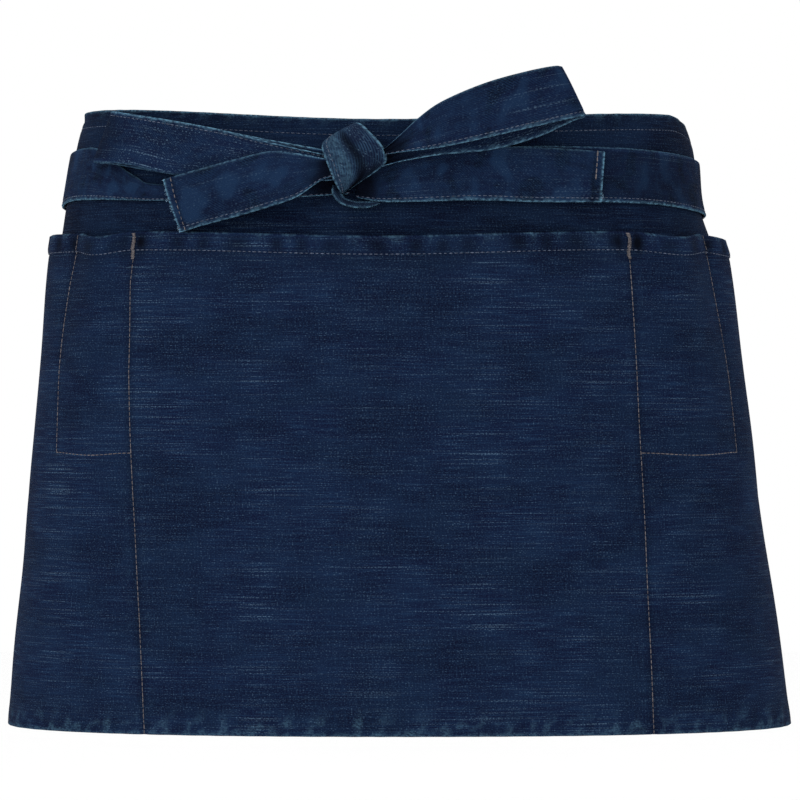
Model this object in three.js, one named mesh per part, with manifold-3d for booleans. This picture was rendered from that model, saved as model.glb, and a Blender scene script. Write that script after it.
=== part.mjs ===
// A short denim waist apron as it is worn: wrapped round the waist and tied at the front with a bow.
// Lengths are in millimetres. +Z is up, the front faces -Y, and +X is to the right of someone who looks at
// the front. The origin lies on the axis of the waist, level with the middle of the ties.
//
// Every piece is first laid out flat, as (arc, lift, height): arc runs round the waist from the middle of the
// front, lift stands off the inside of the cloth, and height is world height. onForm() then bends it round.

import * as THREE from "three";
import { mergeVertices } from "three/addons/utils/BufferGeometryUtils.js";
import Module from "manifold-3d";

const wasm = await Module();
wasm.setup();

// Cloth
const clothThick = 1.3;
const tieThick = 2;
const mouthHemThick = 2.4;
const clearance = 0.5;
const tieClearance = 0.8;

// The worn form: half widths and depths of its outline at the waist edge and at the hem
const waistHalfWidth = 173.3;
const waistFrontDepth = 104;
const waistBackDepth = 100;
const hemHalfWidth = 225;
const hemFrontDepth = 126;
const hemBackDepth = 130;
const hemShift = 9;
const flareBend = 0.75;
const squareness = 2.3;

// The tight tie draws the right side in round its own height
const cinch = 4;
const cinchHeight = -12;
const cinchReach = 34;

// Heights
const waistEdge = 32;
const waistEdgeRise = 7;
const waistEdgeRiseArc = 190;
const waistEdgeDip = 3;
const waistEdgeDipArc = 270;
const mouthDrop = 31;
const hemDrop = 314;

// The cloth's half width, round the form
const clothHalfWaist = 390;
const clothHalfHem = 402;
const sideHem = 12;

// Pockets: seams by their arc from the middle of the front, gapes by how far the mouth stands open
const centrePocketWidth = 290.5;
const centrePocketShift = -3.2;
const leftPocketWidth = 57;
const rightPocketWidth = 75;
const sidePocketDepth = 125;
const pocketLean = 12;
const mouthHem = 9.5;
const mouthHemEase = 1.5;
const centreGape = 7;
const sideGape = 5;
const leftOuterGape = 4;
const rightOuterGape = 6.2;
const outerGapeDepth = 150;
const mouthSag = 0.5;

// Ties and bow
const tieWidth = 30;
const knotArc = -16.5;
const knotRise = 6.5;
const knotWidth = 34;
const knotHeight = 47;
const knotDepth = 21;
const knotCrease = 0.7;
const leftLoopReach = 151;
const rightLoopReach = 124;
const leftTailReach = 106;
const rightTailReach = 141;
const leftLoopPuff = 4;
const rightLoopPuff = 11;

const formTop = waistEdge + waistEdgeRise / 2;
const tieLift = clothThick + tieClearance + tieThick / 2;
const layerStep = tieThick + clearance;
const { clamp, lerp, smoothstep } = THREE.MathUtils;

// Outline of the form at one height, as points from the middle of the front to the middle of the back
const outlineSteps = 180;
const outlines = new Map();

function outline(height) {
  const key = height.toFixed(3);
  if (outlines.has(key)) return outlines.get(key);
  const down = clamp((formTop - height) / (formTop + hemDrop), 0, 1);
  const spread = down ** flareBend;
  const drawnIn = (cinch / 2) * (1 - smoothstep(Math.abs(height - cinchHeight), 0, cinchReach));
  const made = {
    halfWidth: lerp(waistHalfWidth, hemHalfWidth, spread) - drawnIn,
    front: lerp(waistFrontDepth, hemFrontDepth, spread),
    back: lerp(waistBackDepth, hemBackDepth, spread),
    shift: hemShift * down - drawnIn,
    points: [],
    arcs: [],
  };
  for (let i = 0; i <= outlineSteps; i++) {
    const turn = (Math.PI * i) / outlineSteps;
    const depth = i * 2 <= outlineSteps ? made.front : made.back;
    const across = (Math.sin(turn) / made.halfWidth) ** squareness;
    const along = Math.abs(Math.cos(turn) / depth) ** squareness;
    const radius = (across + along) ** (-1 / squareness);
    const point = new THREE.Vector2(Math.sin(turn), -Math.cos(turn)).multiplyScalar(radius);
    const step = i ? point.distanceTo(made.points[i - 1]) : 0;
    made.arcs.push(i ? made.arcs[i - 1] + step : 0);
    made.points.push(point);
  }
  made.halfGirth = made.arcs[outlineSteps];
  outlines.set(key, made);
  return made;
}

function onForm(arc, lift, height) {
  const shape = outline(height);
  const { points, arcs, halfGirth } = shape;
  const wrapped = Math.abs(arc) > halfGirth ? arc - 2 * halfGirth * Math.sign(arc) : arc;
  const side = wrapped < 0 ? -1 : 1;
  const away = Math.min(Math.abs(wrapped), halfGirth);
  let low = 0;
  let high = outlineSteps;
  while (high - low > 1) {
    const middle = (low + high) >> 1;
    if (arcs[middle] <= away) low = middle;
    else high = middle;
  }
  const share = (away - arcs[low]) / (arcs[high] - arcs[low]);
  const foot = points[low].clone().lerp(points[high], share);
  const depth = foot.y < 0 ? shape.front : shape.back;
  const normal = new THREE.Vector2(
    Math.abs(foot.x / shape.halfWidth) ** (squareness - 1) / shape.halfWidth,
    (Math.sign(foot.y) * Math.abs(foot.y / depth) ** (squareness - 1)) / depth,
  ).normalize();
  foot.addScaledVector(normal, lift);
  return new THREE.Vector3(side * foot.x + shape.shift, foot.y, height);
}

// A box splits its outer face's cells along the other diagonal than its inner face's. This turns them to the
// same one, so that walls that face each other stay parallel where they twist.
const outerFaceGroup = 3;
const indicesPerCell = 6;

function alignDiagonals(geometry) {
  const { start, count } = geometry.groups[outerFaceGroup];
  const index = geometry.getIndex();
  for (let i = start; i < start + count; i += indicesPerCell) {
    const [a, b, d, c] = [0, 1, 2, 4].map((k) => index.getX(i + k));
    [a, b, c, a, c, d].forEach((corner, k) => index.setX(i + k, corner));
  }
}

// A block of cells whose corners are moved one by one: column runs along, outer is 0 or 1, row runs up
function sheet(columns, rows, place) {
  const box = new THREE.BoxGeometry(1, 1, 1, columns, 1, rows);
  box.deleteAttribute("normal");
  box.deleteAttribute("uv");
  const geometry = mergeVertices(box, 1e-4);
  alignDiagonals(geometry);
  const position = geometry.getAttribute("position");
  for (let i = 0; i < position.count; i++) {
    const column = Math.round((position.getX(i) + 0.5) * columns);
    const outer = Math.round(0.5 - position.getY(i));
    const row = Math.round((position.getZ(i) + 0.5) * rows);
    const point = place(column, outer, row);
    position.setXYZ(i, point.x, point.y, point.z);
  }
  return geometry;
}

// Evenly spaced stops through a list of bounds, with so many steps from each bound to the next
function stops(bounds, steps) {
  const made = [bounds[0]];
  steps.forEach((count, i) => {
    for (let k = 1; k <= count; k++) made.push(lerp(bounds[i], bounds[i + 1], k / count));
  });
  return made;
}

// Seams between the pocket zones
const leftSeam = centrePocketShift - centrePocketWidth / 2;
const rightSeam = centrePocketShift + centrePocketWidth / 2;
const pocketSpan = hemDrop - mouthDrop;
const columnSteps = [1, 17, 5, 16, 6, 17, 1];
const columnCount = columnSteps.reduce((sum, count) => sum + count, 0);

// The bounds of the zones at one height: cloth edge, side hem, outer seam, inner seam and on to the far edge
function zoneBounds(height) {
  const below = clamp((-mouthDrop - height) / sidePocketDepth, 0, 1);
  const lean = pocketLean * (1 - below) ** 2;
  const half = lerp(clothHalfWaist, clothHalfHem, clamp((waistEdge - height) / (waistEdge + hemDrop), 0, 1));
  return [
    -half,
    -half + sideHem,
    leftSeam - leftPocketWidth + lean,
    leftSeam,
    rightSeam,
    rightSeam + rightPocketWidth - lean,
    half - sideHem,
    half,
  ];
}

// How far the pocket cloth stands off at its mouth and how that fades, zone by zone
const outerGapePeak = 0.5;
const zones = [
  { gape: 0, fade: pocketSpan },
  { gape: leftOuterGape, fade: outerGapeDepth, skew: (share) => (1 - share) ** outerGapePeak },
  { gape: sideGape, fade: sidePocketDepth, skew: (share) => share },
  { gape: centreGape, fade: pocketSpan, skew: (share) => share },
  { gape: sideGape, fade: sidePocketDepth, skew: (share) => share },
  { gape: rightOuterGape, fade: outerGapeDepth, skew: (share) => share ** outerGapePeak },
  { gape: 0, fade: pocketSpan },
];

// The zone of a column, and the column's share of the way across it
function zoneOf(column) {
  let first = 0;
  for (let zone = 0; zone < columnSteps.length; zone++) {
    const share = (column - first) / columnSteps[zone];
    if (share <= 1) return { zone, share };
    first += columnSteps[zone];
  }
}

function gapeAt(column, depth) {
  const { zone, share } = zoneOf(column);
  const { gape, fade, skew } = zones[zone];
  if (!gape) return 0;
  const fullness = Math.sin(Math.PI * skew(share)) ** 2;
  return gape * fullness * clamp(1 - depth / fade, 0, 1);
}

const columnArc = (column, height) => stops(zoneBounds(height), columnSteps)[column];
const mouthHeight = (column) => -mouthDrop - mouthSag * gapeAt(column, 0);

function waistEdgeHeight(column) {
  const arc = Math.abs(columnArc(column, waistEdge));
  const rise = waistEdgeRise * smoothstep(arc, 0, waistEdgeRiseArc);
  return waistEdge + rise - waistEdgeDip * smoothstep(arc, waistEdgeRiseArc, waistEdgeDipArc);
}

// Depths of the pocket's rows below its mouth, from the hem up
const pocketDepths = stops(
  [pocketSpan, sidePocketDepth, mouthHem + mouthHemEase, mouthHem, 0],
  [3, 4, 1, 1],
);
const pocketRows = pocketDepths.length - 1;
const upperRows = 4;

const pocketHeight = (column, row) =>
  lerp(mouthHeight(column), -hemDrop, pocketDepths[row] / pocketSpan);

function apronPanel() {
  return sheet(columnCount, pocketRows + upperRows, (column, outer, row) => {
    const up = (row - pocketRows) / upperRows;
    const height =
      row <= pocketRows
        ? pocketHeight(column, row)
        : lerp(mouthHeight(column), waistEdgeHeight(column), up);
    return onForm(columnArc(column, height), outer * clothThick, height);
  });
}

function pocketPanel() {
  return sheet(columnCount, pocketRows, (column, outer, row) => {
    const depth = pocketDepths[row];
    const height = pocketHeight(column, row);
    const wall = depth <= mouthHem ? mouthHemThick : clothThick;
    const inside = clothThick + clearance + gapeAt(column, depth);
    return onForm(columnArc(column, height), inside + outer * wall, height);
  });
}

// Rows under named columns, as objects
function table(names, rows) {
  const keys = names.split(" ");
  return rows.map((row) => Object.fromEntries(keys.map((key, i) => [key, row[i]])));
}

// A strip of tie cloth between two edge curves that are laid out flat as (arc, -lift, height)
function strip(upperEdge, lowerEdge, steps, stepsAcross) {
  const upper = new THREE.CatmullRomCurve3(upperEdge, false, "catmullrom", 0.5);
  const lower = new THREE.CatmullRomCurve3(lowerEdge, false, "catmullrom", 0.5);
  return sheet(steps, stepsAcross, (column, outer, row) => {
    const t = column / steps;
    const across = upper.getPoint(t).sub(lower.getPoint(t));
    const along = upper.getTangent(t).add(lower.getTangent(t));
    const inward = across.clone().cross(along).normalize();
    const point = lower.getPoint(t).addScaledVector(across, row / stepsAcross);
    point.addScaledVector(inward, (0.5 - outer) * tieThick);
    return onForm(point.x, -point.y, point.z);
  });
}

// The ties: at is a share of the half girth from the middle of the front, where 1 is the middle of the back;
// top and low are the edges' heights and on counts the layers of tie cloth underneath.
const tieColumns = "at top low on";
const tieLeftRows = table(tieColumns, [
  [1.22, 1.22, 0.24, 0],
  [1.154, 1.22, 0.24, 0],
  [1.08, 0.95, -0.03, 0],
  [1.0, 0.63, -0.36, 0],
  [0.92, 0.32, -0.68, 0],
  [0.846, 0.1, -0.9, 0],
  [0.72, 0.22, -0.78, 0],
  [0.6, 0.4, -0.6, 0],
  [0.5, 0.54, -0.46, 0],
  [0.42, 0.63, -0.38, 0],
  [0.37, 0.56, -0.38, 0],
  [0.31, 0.06, -0.41, 0],
  [0.268, -0.13, -0.43, 0],
  [0.13, -0.1, -0.41, 0],
  [0.04, -0.06, -0.34, 0],
]);
const tieRightRows = table(tieColumns, [
  [1.22, 1.22, 0.24, 0],
  [1.19, 1.22, 0.24, 0.1],
  [1.12, 1.1, 0.12, 1],
  [1.0, 0.63, -0.36, 1],
  [0.88, 0.2, -0.8, 1],
  [0.81, 0.08, -0.92, 0.1],
  [0.72, 0.12, -0.88, 0],
  [0.6, 0.24, -0.76, 0],
  [0.5, 0.38, -0.64, 0],
  [0.43, 0.46, -0.58, 0],
  [0.35, 0.54, -0.49, 0],
  [0.27, 0.58, -0.46, 0],
  [0.15, 0.56, -0.46, 0],
  [0.06, 0.4, -0.44, 0],
  [-0.01, 0.2, -0.4, 0],
]);

const tieSteps = 76;
const tieStepsAcross = 2;

function tie(rows, side) {
  const edge = (key) =>
    rows.map((row) => {
      const height = row[key] * tieWidth;
      const arc = side * row.at * outline(height).halfGirth;
      return new THREE.Vector3(arc, -(tieLift + row.on * layerStep), height);
    });
  return strip(edge("top"), edge("low"), tieSteps, tieStepsAcross);
}

// The bow: at is a share of the piece's reach from the knot, rise a share of the tie's width above its middle,
// on counts the layers of tie cloth underneath and puff is a share of the loop's puff.
const bowColumns = "at rise on puff";
const leftLoop = {
  top: table(bowColumns, [
    [0.05, 0.42, 1.2, 0.3],
    [0.12, 0.5, 1.1, 0],
    [0.3, 0.67, 1, 0],
    [0.49, 0.87, 1, 0],
    [0.69, 1.07, 1, 0],
    [0.86, 1.22, 1, 0],
    [0.93, 1.28, 1.5, 0.5],
    [0.9, 1.27, 2, 1],
    [0.78, 1.17, 2, 1.15],
    [0.64, 1.04, 2, 1.2],
    [0.48, 0.87, 2, 1.15],
    [0.3, 0.62, 2, 1],
    [0.12, 0.41, 2, 0.9],
    [0.05, 0.36, 2, 0.8],
  ]),
  low: table(bowColumns, [
    [0.05, 0, 1.2, 0.3],
    [0.12, -0.06, 1.1, 0],
    [0.3, -0.1, 1, 0],
    [0.49, -0.05, 1, 0],
    [0.7, 0.07, 1, 0],
    [0.92, 0.26, 1, 0],
    [1.01, 0.31, 1.5, 0.5],
    [0.97, 0.31, 2, 1],
    [0.83, 0.24, 2, 1.1],
    [0.66, 0.04, 2, 1.1],
    [0.48, -0.02, 2, 1],
    [0.3, -0.06, 2, 1],
    [0.12, -0.1, 2, 0.9],
    [0.05, -0.08, 2, 0.8],
  ]),
};
const rightLoop = {
  top: table(bowColumns, [
    [0.08, 0.4, 2.1, 0.05],
    [0.2, 0.56, 2, 0.02],
    [0.38, 1.2, 2, 0.1],
    [0.61, 1.68, 2, 0.18],
    [0.81, 1.95, 2, 0.2],
    [0.91, 2.02, 2.1, 0.25],
    [0.935, 2.04, 2.5, 0.6],
    [0.9, 2.06, 3, 0.95],
    [0.75, 1.95, 3, 1.1],
    [0.57, 1.72, 3, 1.15],
    [0.39, 1.34, 3, 1.1],
    [0.29, 1.08, 3, 1],
    [0.2, 0.7, 3, 0.7],
    [0.08, 0.53, 3, 0.35],
  ]),
  low: table(bowColumns, [
    [0.08, 0.1, 2.1, 0.05],
    [0.2, 0.25, 2, 0.02],
    [0.38, 0.39, 2, 0],
    [0.61, 0.49, 2, 0],
    [0.82, 0.74, 2, 0],
    [0.98, 1.05, 2.1, 0.1],
    [1.01, 1.1, 2.5, 0.5],
    [0.98, 1.12, 3, 0.9],
    [0.75, 0.88, 3, 1],
    [0.57, 0.69, 3, 1],
    [0.39, 0.52, 3, 0.95],
    [0.29, 0.46, 3, 0.8],
    [0.2, 0.42, 3, 0.6],
    [0.08, 0.34, 3, 0.3],
  ]),
};
const leftTail = {
  top: table(bowColumns, [
    [0.06, 0.27, 3.5, 1],
    [0.15, 0.31, 3.5, 1.1],
    [0.28, 0.4, 3.5, 1.3],
    [0.42, 0.45, 3.5, 1.5],
    [0.6, 0.3, 3.5, 1.6],
    [0.78, 0.13, 3.4, 1.6],
    [1.02, -0.08, 2.9, 1.1],
  ]),
  low: table(bowColumns, [
    [0.06, -0.02, 3.1, 0.9],
    [0.15, -0.08, 3, 0.9],
    [0.28, -0.4, 2.8, 0.9],
    [0.42, -0.58, 2.5, 0.9],
    [0.6, -0.76, 2, 0.8],
    [0.78, -0.91, 1.6, 0.6],
    [0.92, -1.04, 1.2, 0.4],
  ]),
};
const rightTail = {
  top: table(bowColumns, [
    [0.02, 0, 1, 0],
    [0.12, 0.25, 1, 0],
    [0.3, 0.46, 1, 0],
    [0.5, 0.55, 1, 0],
    [0.72, 0.55, 1, 0],
    [1.005, 0.49, 1, 0],
  ]),
  low: table(bowColumns, [
    [0.02, -0.42, 1, 0],
    [0.12, -0.49, 1, 0],
    [0.3, -0.48, 1, 0],
    [0.5, -0.45, 1, 0],
    [0.72, -0.48, 1, 0],
    [0.975, -0.47, 1, 0],
  ]),
};

const bowStepsAcross = 4;

function bowPiece(edges, side, reach, puff, steps) {
  const edge = (rows) =>
    rows.map(({ at, rise, on, puff: share }) => {
      const lift = tieLift + on * layerStep + share * puff;
      return new THREE.Vector3(knotArc + side * at * reach, -lift, rise * tieWidth);
    });
  return strip(edge(edges.top), edge(edges.low), steps, bowStepsAcross);
}

// The knot: a rounded lump of wrapped cloth with upright creases over its front
const knotCreases = 3;
const knotBoxiness = 0.8;
const knotStepsRound = 24;
const knotStepsUp = 14;

function knot(grow) {
  const ball = new THREE.SphereGeometry(1, knotStepsRound, knotStepsUp).rotateX(Math.PI / 2);
  ball.deleteAttribute("normal");
  ball.deleteAttribute("uv");
  const geometry = mergeVertices(ball, 1e-4);
  const position = geometry.getAttribute("position");
  const squared = (value) => Math.sign(value) * Math.abs(value) ** knotBoxiness;
  const back = clothThick + clearance;
  for (let i = 0; i < position.count; i++) {
    const x = position.getX(i);
    const front = -position.getY(i);
    const z = position.getZ(i);
    const crease = knotCrease * Math.cos(2 * Math.PI * knotCreases * x) * Math.max(front, 0);
    const arc = knotArc + (knotWidth / 2 + grow) * squared(x);
    const lift = back + knotDepth / 2 + (knotDepth / 2 + grow) * squared(front) + crease;
    const height = knotRise + (knotHeight / 2 + grow) * squared(z);
    const point = onForm(arc, lift, height);
    position.setXYZ(i, point.x, point.y, point.z);
  }
  return geometry;
}

function solidOf(geometry) {
  return new wasm.Manifold(
    new wasm.Mesh({
      numProp: 3,
      vertProperties: new Float32Array(geometry.getAttribute("position").array),
      triVerts: new Uint32Array(geometry.getIndex().array),
    }),
  );
}

function geometryOf(solid) {
  const mesh = solid.getMesh();
  const geometry = new THREE.BufferGeometry();
  geometry.setAttribute("position", new THREE.BufferAttribute(mesh.vertProperties, 3));
  geometry.setIndex(new THREE.BufferAttribute(mesh.triVerts, 1));
  return geometry;
}

// A strip that runs into the knot ends at the knot's surface, a clearance away from it
function endedAtKnot(geometry) {
  const cut = solidOf(geometry).subtract(solidOf(knot(clearance)));
  const bodies = cut.decompose().sort((a, b) => b.volume() - a.volume());
  return geometryOf(bodies[0]);
}

const denim = new THREE.MeshStandardMaterial({ color: 0x1b3355, roughness: 0.9, metalness: 0 });
const pocketDenim = new THREE.MeshStandardMaterial({ color: 0x203c62, roughness: 0.9, metalness: 0 });
const tieDenim = new THREE.MeshStandardMaterial({ color: 0x1e3a5c, roughness: 0.88, metalness: 0 });
const reverseDenim = new THREE.MeshStandardMaterial({ color: 0x3a5573, roughness: 0.9, metalness: 0 });

function piece(name, geometry, material) {
  const shown = geometry.toNonIndexed();
  shown.computeVertexNormals();
  const mesh = new THREE.Mesh(shown, material);
  mesh.name = name;
  return mesh;
}

const loopSteps = 40;
const tailSteps = 20;
const leftLoopShape = bowPiece(leftLoop, -1, leftLoopReach, leftLoopPuff, loopSteps);
const rightLoopShape = bowPiece(rightLoop, 1, rightLoopReach, rightLoopPuff, loopSteps);
const leftTailShape = bowPiece(leftTail, -1, leftTailReach, leftLoopPuff, tailSteps);
const rightTailShape = bowPiece(rightTail, 1, rightTailReach, 0, tailSteps);

const cloths = new THREE.Group();
cloths.add(piece("apron_panel", apronPanel(), denim), piece("pocket_panel", pocketPanel(), pocketDenim));

const ties = new THREE.Group();
ties.add(
  piece("tie_left", endedAtKnot(tie(tieLeftRows, -1)), tieDenim),
  piece("tie_right", endedAtKnot(tie(tieRightRows, 1)), tieDenim),
);

const bow = new THREE.Group();
bow.add(
  piece("bow_knot", knot(0), tieDenim),
  piece("bow_loop_left", endedAtKnot(leftLoopShape), reverseDenim),
  piece("bow_loop_right", endedAtKnot(rightLoopShape), tieDenim),
  piece("bow_tail_left", endedAtKnot(leftTailShape), tieDenim),
  piece("bow_tail_right", endedAtKnot(rightTailShape), tieDenim),
);

const apron = new THREE.Group();
apron.add(cloths, ties, bow);

export default apron;
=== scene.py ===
"""A denim waist apron, worn and tied in front: fine cloth, stitching and denim over the CAD frame."""

import math

import bpy
import numpy as np
from bpy.props import FloatProperty, FloatVectorProperty, PointerProperty
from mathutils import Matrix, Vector


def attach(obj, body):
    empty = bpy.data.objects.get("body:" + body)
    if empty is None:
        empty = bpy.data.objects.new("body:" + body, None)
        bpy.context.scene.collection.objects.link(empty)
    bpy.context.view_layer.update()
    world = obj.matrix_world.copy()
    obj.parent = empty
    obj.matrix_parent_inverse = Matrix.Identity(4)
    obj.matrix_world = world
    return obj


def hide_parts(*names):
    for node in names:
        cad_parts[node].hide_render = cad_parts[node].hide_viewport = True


bl_info = {
    "name": "Denim waist apron",
    "version": (1, 0, 0),
    "blender": (4, 5, 0),
    "location": "View3D > Sidebar > Apron",
    "description": "Makes a worn denim waist apron with a pocket panel and a tied bow",
    "category": "Add Mesh",
}

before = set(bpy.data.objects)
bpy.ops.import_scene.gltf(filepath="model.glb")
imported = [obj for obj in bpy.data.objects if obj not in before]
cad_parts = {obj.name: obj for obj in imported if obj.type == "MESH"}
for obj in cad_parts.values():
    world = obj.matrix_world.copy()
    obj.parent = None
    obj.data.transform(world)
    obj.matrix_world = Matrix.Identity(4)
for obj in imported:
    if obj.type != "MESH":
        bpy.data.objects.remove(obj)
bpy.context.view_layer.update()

MM = 0.001
BODY = "root"
CLOTH_MAP = "ClothMap"
# A share at each point: above nought the cloth is rubbed pale, below nought it is darkened, mostly as painted
# shade
WEAR_AND_SHADE = "fade"
SEED = 7

# Finishes
SLUB_DENIM = "Slub denim, indigo"
# A darker copy of the slub denim: painted shade for the main cloth
SHADED_SLUB_DENIM = "Slub denim, unfaded indigo"
TIE_DENIM = "Twill denim, edges worn pale"
REVERSE_DENIM = "Twill denim, reverse"
KNOT_DENIM = "Twill denim, drawn tight in the knot"
TAN_THREAD = "Sewing thread, tan"
GREY_THREAD = "Sewing thread, blue grey"
RAW_COTTON = "Raw cotton weft"
PAPER = "Matt paper"


def linear(hex_colour):
    """An sRGB hex colour such as "#17253e" as linear red, green and blue."""
    parts = [int(hex_colour[i : i + 2], 16) / 255 for i in (1, 3, 5)]
    return [p / 12.92 if p <= 0.04045 else ((p + 0.055) / 1.055) ** 2.4 for p in parts]


def size(name, default_mm, description):
    """A length a user may change, given in millimetres and kept in metres."""
    return FloatProperty(
        name=name,
        description=description,
        default=default_mm * MM,
        unit="LENGTH",
        precision=5,
    )


def colour(name, default_hex, description):
    """A colour a user may change."""
    return FloatVectorProperty(
        name=name,
        description=description,
        default=linear(default_hex),
        subtype="COLOR",
        size=3,
        min=0,
        max=1,
    )


class ApronForm(bpy.types.PropertyGroup):
    """The worn form: the outline round the waist and the heights of the cloth's edges."""

    waist_half_width: size("Waist half width", 173.3, "Half the width at the waist edge")
    waist_front: size("Waist front depth", 104, "From the axis to the front at the waist edge")
    waist_back: size("Waist back depth", 100, "From the axis to the back at the waist edge")
    hem_half_width: size("Hem half width", 225, "Half the width at the hem")
    hem_front: size("Hem front depth", 126, "From the axis to the front at the hem")
    hem_back: size("Hem back depth", 130, "From the axis to the back at the hem")
    hem_shift: size("Hem shift", 9, "How far the hem hangs towards the right of the front")
    cinch: size("Cinch", 4, "How far the tight tie draws the right side in")
    cinch_height: size("Cinch height", -12, "The height of the tightest place")
    cinch_reach: size("Cinch reach", 34, "How far above and below it the cinch fades")
    waist_edge: size("Waist edge", 32, "The waist edge's height at the middle of the front")
    edge_rise: size("Waist edge rise", 7, "How much higher the waist edge is at the sides")
    edge_tilt: size("Edge tilt", 1.2, "How much higher the left side's edge is, and lower the right's")
    edge_rise_arc: size("Rise arc", 190, "The arc from the middle at which the edge is highest")
    left_dip: size("Left dip", 1.5, "How much the waist edge falls again behind the left side")
    right_dip: size("Right dip", 7.5, "How much the waist edge falls again behind the right side")
    left_dip_arc: size("Left dip arc", 238, "The arc at which the left side's dip starts")
    right_dip_arc: size("Right dip arc", 180, "The arc at which the right side's dip starts")
    edge_dip_run: size("Dip run", 56, "The arc over which a dip goes on")
    mouth_drop: size("Mouth drop", 31, "The pocket mouth's depth below the middle of the ties")
    hem_drop: size("Hem drop", 314, "The hem's depth below the middle of the ties")
    flare_bend: FloatProperty(name="Flare bend", description="How early the flare opens", default=0.75)
    squareness: FloatProperty(name="Squareness", description="2 is an ellipse", default=2.3)


class ApronCloth(bpy.types.PropertyGroup):
    """The main cloth and the pocket cloth."""

    thick: size("Cloth thickness", 1.3, "The denim's thickness")
    mouth_thick: size("Mouth hem thickness", 2.4, "The turned hem's thickness along the pocket mouth")
    clearance: size("Clearance", 0.5, "The gap between layers that lie on each other")
    half_waist: size("Half width at the waist", 390, "Half the cloth's flat width at the waist edge")
    half_hem: size("Half width at the hem", 402, "Half the cloth's flat width at the hem")
    side_hem: size("Side hem", 12, "The turned hem's width at the cloth's two ends")
    centre_width: size("Centre pocket width", 290.5, "Between the two long seams")
    centre_shift: size("Centre pocket shift", -3.2, "How far the centre pocket is off the middle")
    left_width: size("Left pocket width", 57, "The small pocket beside the left seam")
    right_width: size("Right pocket width", 75, "The small pocket beside the right seam")
    side_depth: size("Side pocket depth", 125, "From the mouth to the small pockets' bottoms")
    lean: size("Pocket lean", 12, "How far the small pockets narrow towards the mouth")
    mouth_hem: size("Mouth hem", 9.5, "The width of the turned hem along the mouth")
    mouth_sag: FloatProperty(name="Mouth sag", description="Share of a gape that the mouth sags", default=0.5)
    right_sag: FloatProperty(name="Right sag", description="The same round the right side", default=0.35)
    waist_hem: size("Waist hem", 9, "From the waist edge to its stitch row")
    centre_gape: size("Centre gape", 7, "How far the centre pocket's mouth stands open")
    side_gape: size("Side gape", 5, "How far a small pocket's mouth stands open")
    left_gape: size("Left outer gape", 4, "How far the mouth stands open round the left side")
    right_gape: size("Right outer gape", 6.2, "How far the mouth stands open round the right side")
    outer_gape_depth: size("Outer gape depth", 150, "How deep the gapes at the sides reach")
    puckers: size("Puckers", 0.45, "The height of the puckers along the sewn hems")


class ApronBow(bpy.types.PropertyGroup):
    """The ties, the knot and the bow."""

    width: size("Tie width", 30, "The width of the ties")
    thick: size("Tie thickness", 2, "The thickness of a folded and sewn tie")
    clearance: size("Tie clearance", 0.8, "The gap between a tie and the cloth under it")
    knot_arc: size("Knot arc", -16.5, "The knot's arc from the middle of the front")
    left_loop: size("Left loop reach", 151, "From the knot to the left loop's end")
    right_loop: size("Right loop reach", 124, "From the knot to the right loop's end")
    left_tail: size("Left tail reach", 106, "From the knot to the left tail's end")
    right_tail: size("Right tail reach", 141, "From the knot to the right tail's end")
    left_puff: size("Left loop puff", 4, "How far the left loop stands open")
    right_puff: size("Right loop puff", 11, "How far the right loop stands open")


class ApronSewing(bpy.types.PropertyGroup):
    """Stitches and loose threads."""

    pitch: size("Stitch pitch", 3.0, "From one stitch to the next")
    length: size("Stitch length", 2.3, "The length of a stitch that shows")
    thread: size("Thread", 0.55, "The thickness of the sewing thread")
    inset: size("Stitch inset", 2.4, "From a tie's edge to its stitch row")
    fray: size("Fray", 2.6, "The length of the loose threads at a cut end")


class ApronColours(bpy.types.PropertyGroup):
    """Dyed cloth and threads."""

    indigo: colour("Indigo", "#0a0f25", "The pocket cloth's dye")
    deep: colour("Deep indigo", "#04060e", "Dark dye of random patches, and the tint that painted shade darkens towards")
    faded: colour("Faded indigo", "#152740", "Dye that has washed towards teal")
    worn: colour("Worn indigo", "#587f96", "Edges rubbed pale")
    weft: colour("Weft", "#6a879e", "Undyed weft that shows through")
    tan_thread: colour("Tan thread", "#686365", "The thread of seams and bartacks")
    grey_thread: colour("Grey thread", "#565f72", "The thread of hems and ties")
    paper: colour("Paper", "#fdfdfd", "The floor")


SETTINGS = {
    "apron_form": ApronForm,
    "apron_cloth": ApronCloth,
    "apron_bow": ApronBow,
    "apron_sewing": ApronSewing,
    "apron_colours": ApronColours,
}


def settings(name):
    """One group of the scene's settings."""
    return getattr(bpy.context.scene, name)


# Shapes


def table(names, rows):
    """Rows under named columns, as one array for each column."""
    return dict(zip(names.split(), np.array(rows, float).T))


def lerp(a, b, share):
    """From a to b."""
    return a + (b - a) * share


def smoothstep(x, low, high):
    """From 0 at low to 1 at high, eased at both ends."""
    share = np.clip((x - low) / (high - low), 0, 1)
    return share * share * (3 - 2 * share)


def bell(x, middle, reach):
    """1 at the middle, falling to little past the reach."""
    return np.exp(-(((x - middle) / reach) ** 2))


def waves(u, v, length, seed):
    """Soft uneven waves from about -1 to 1 over the cloth, each about so long."""
    random = np.random.default_rng(seed)
    total = 0
    count = 7
    for _ in range(count):
        angle, phase = random.uniform(0, math.tau, 2)
        across = math.tau / (length * random.uniform(0.7, 1.6))
        total = total + np.sin(across * (u * math.cos(angle) + v * math.sin(angle)) + phase)
    return total / math.sqrt(2 * count)


OUTLINE_STEPS = 180
TURNS = np.linspace(0, math.pi, OUTLINE_STEPS + 1)[None, :]
# So many points are bent at a time
RUN = 6000


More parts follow.
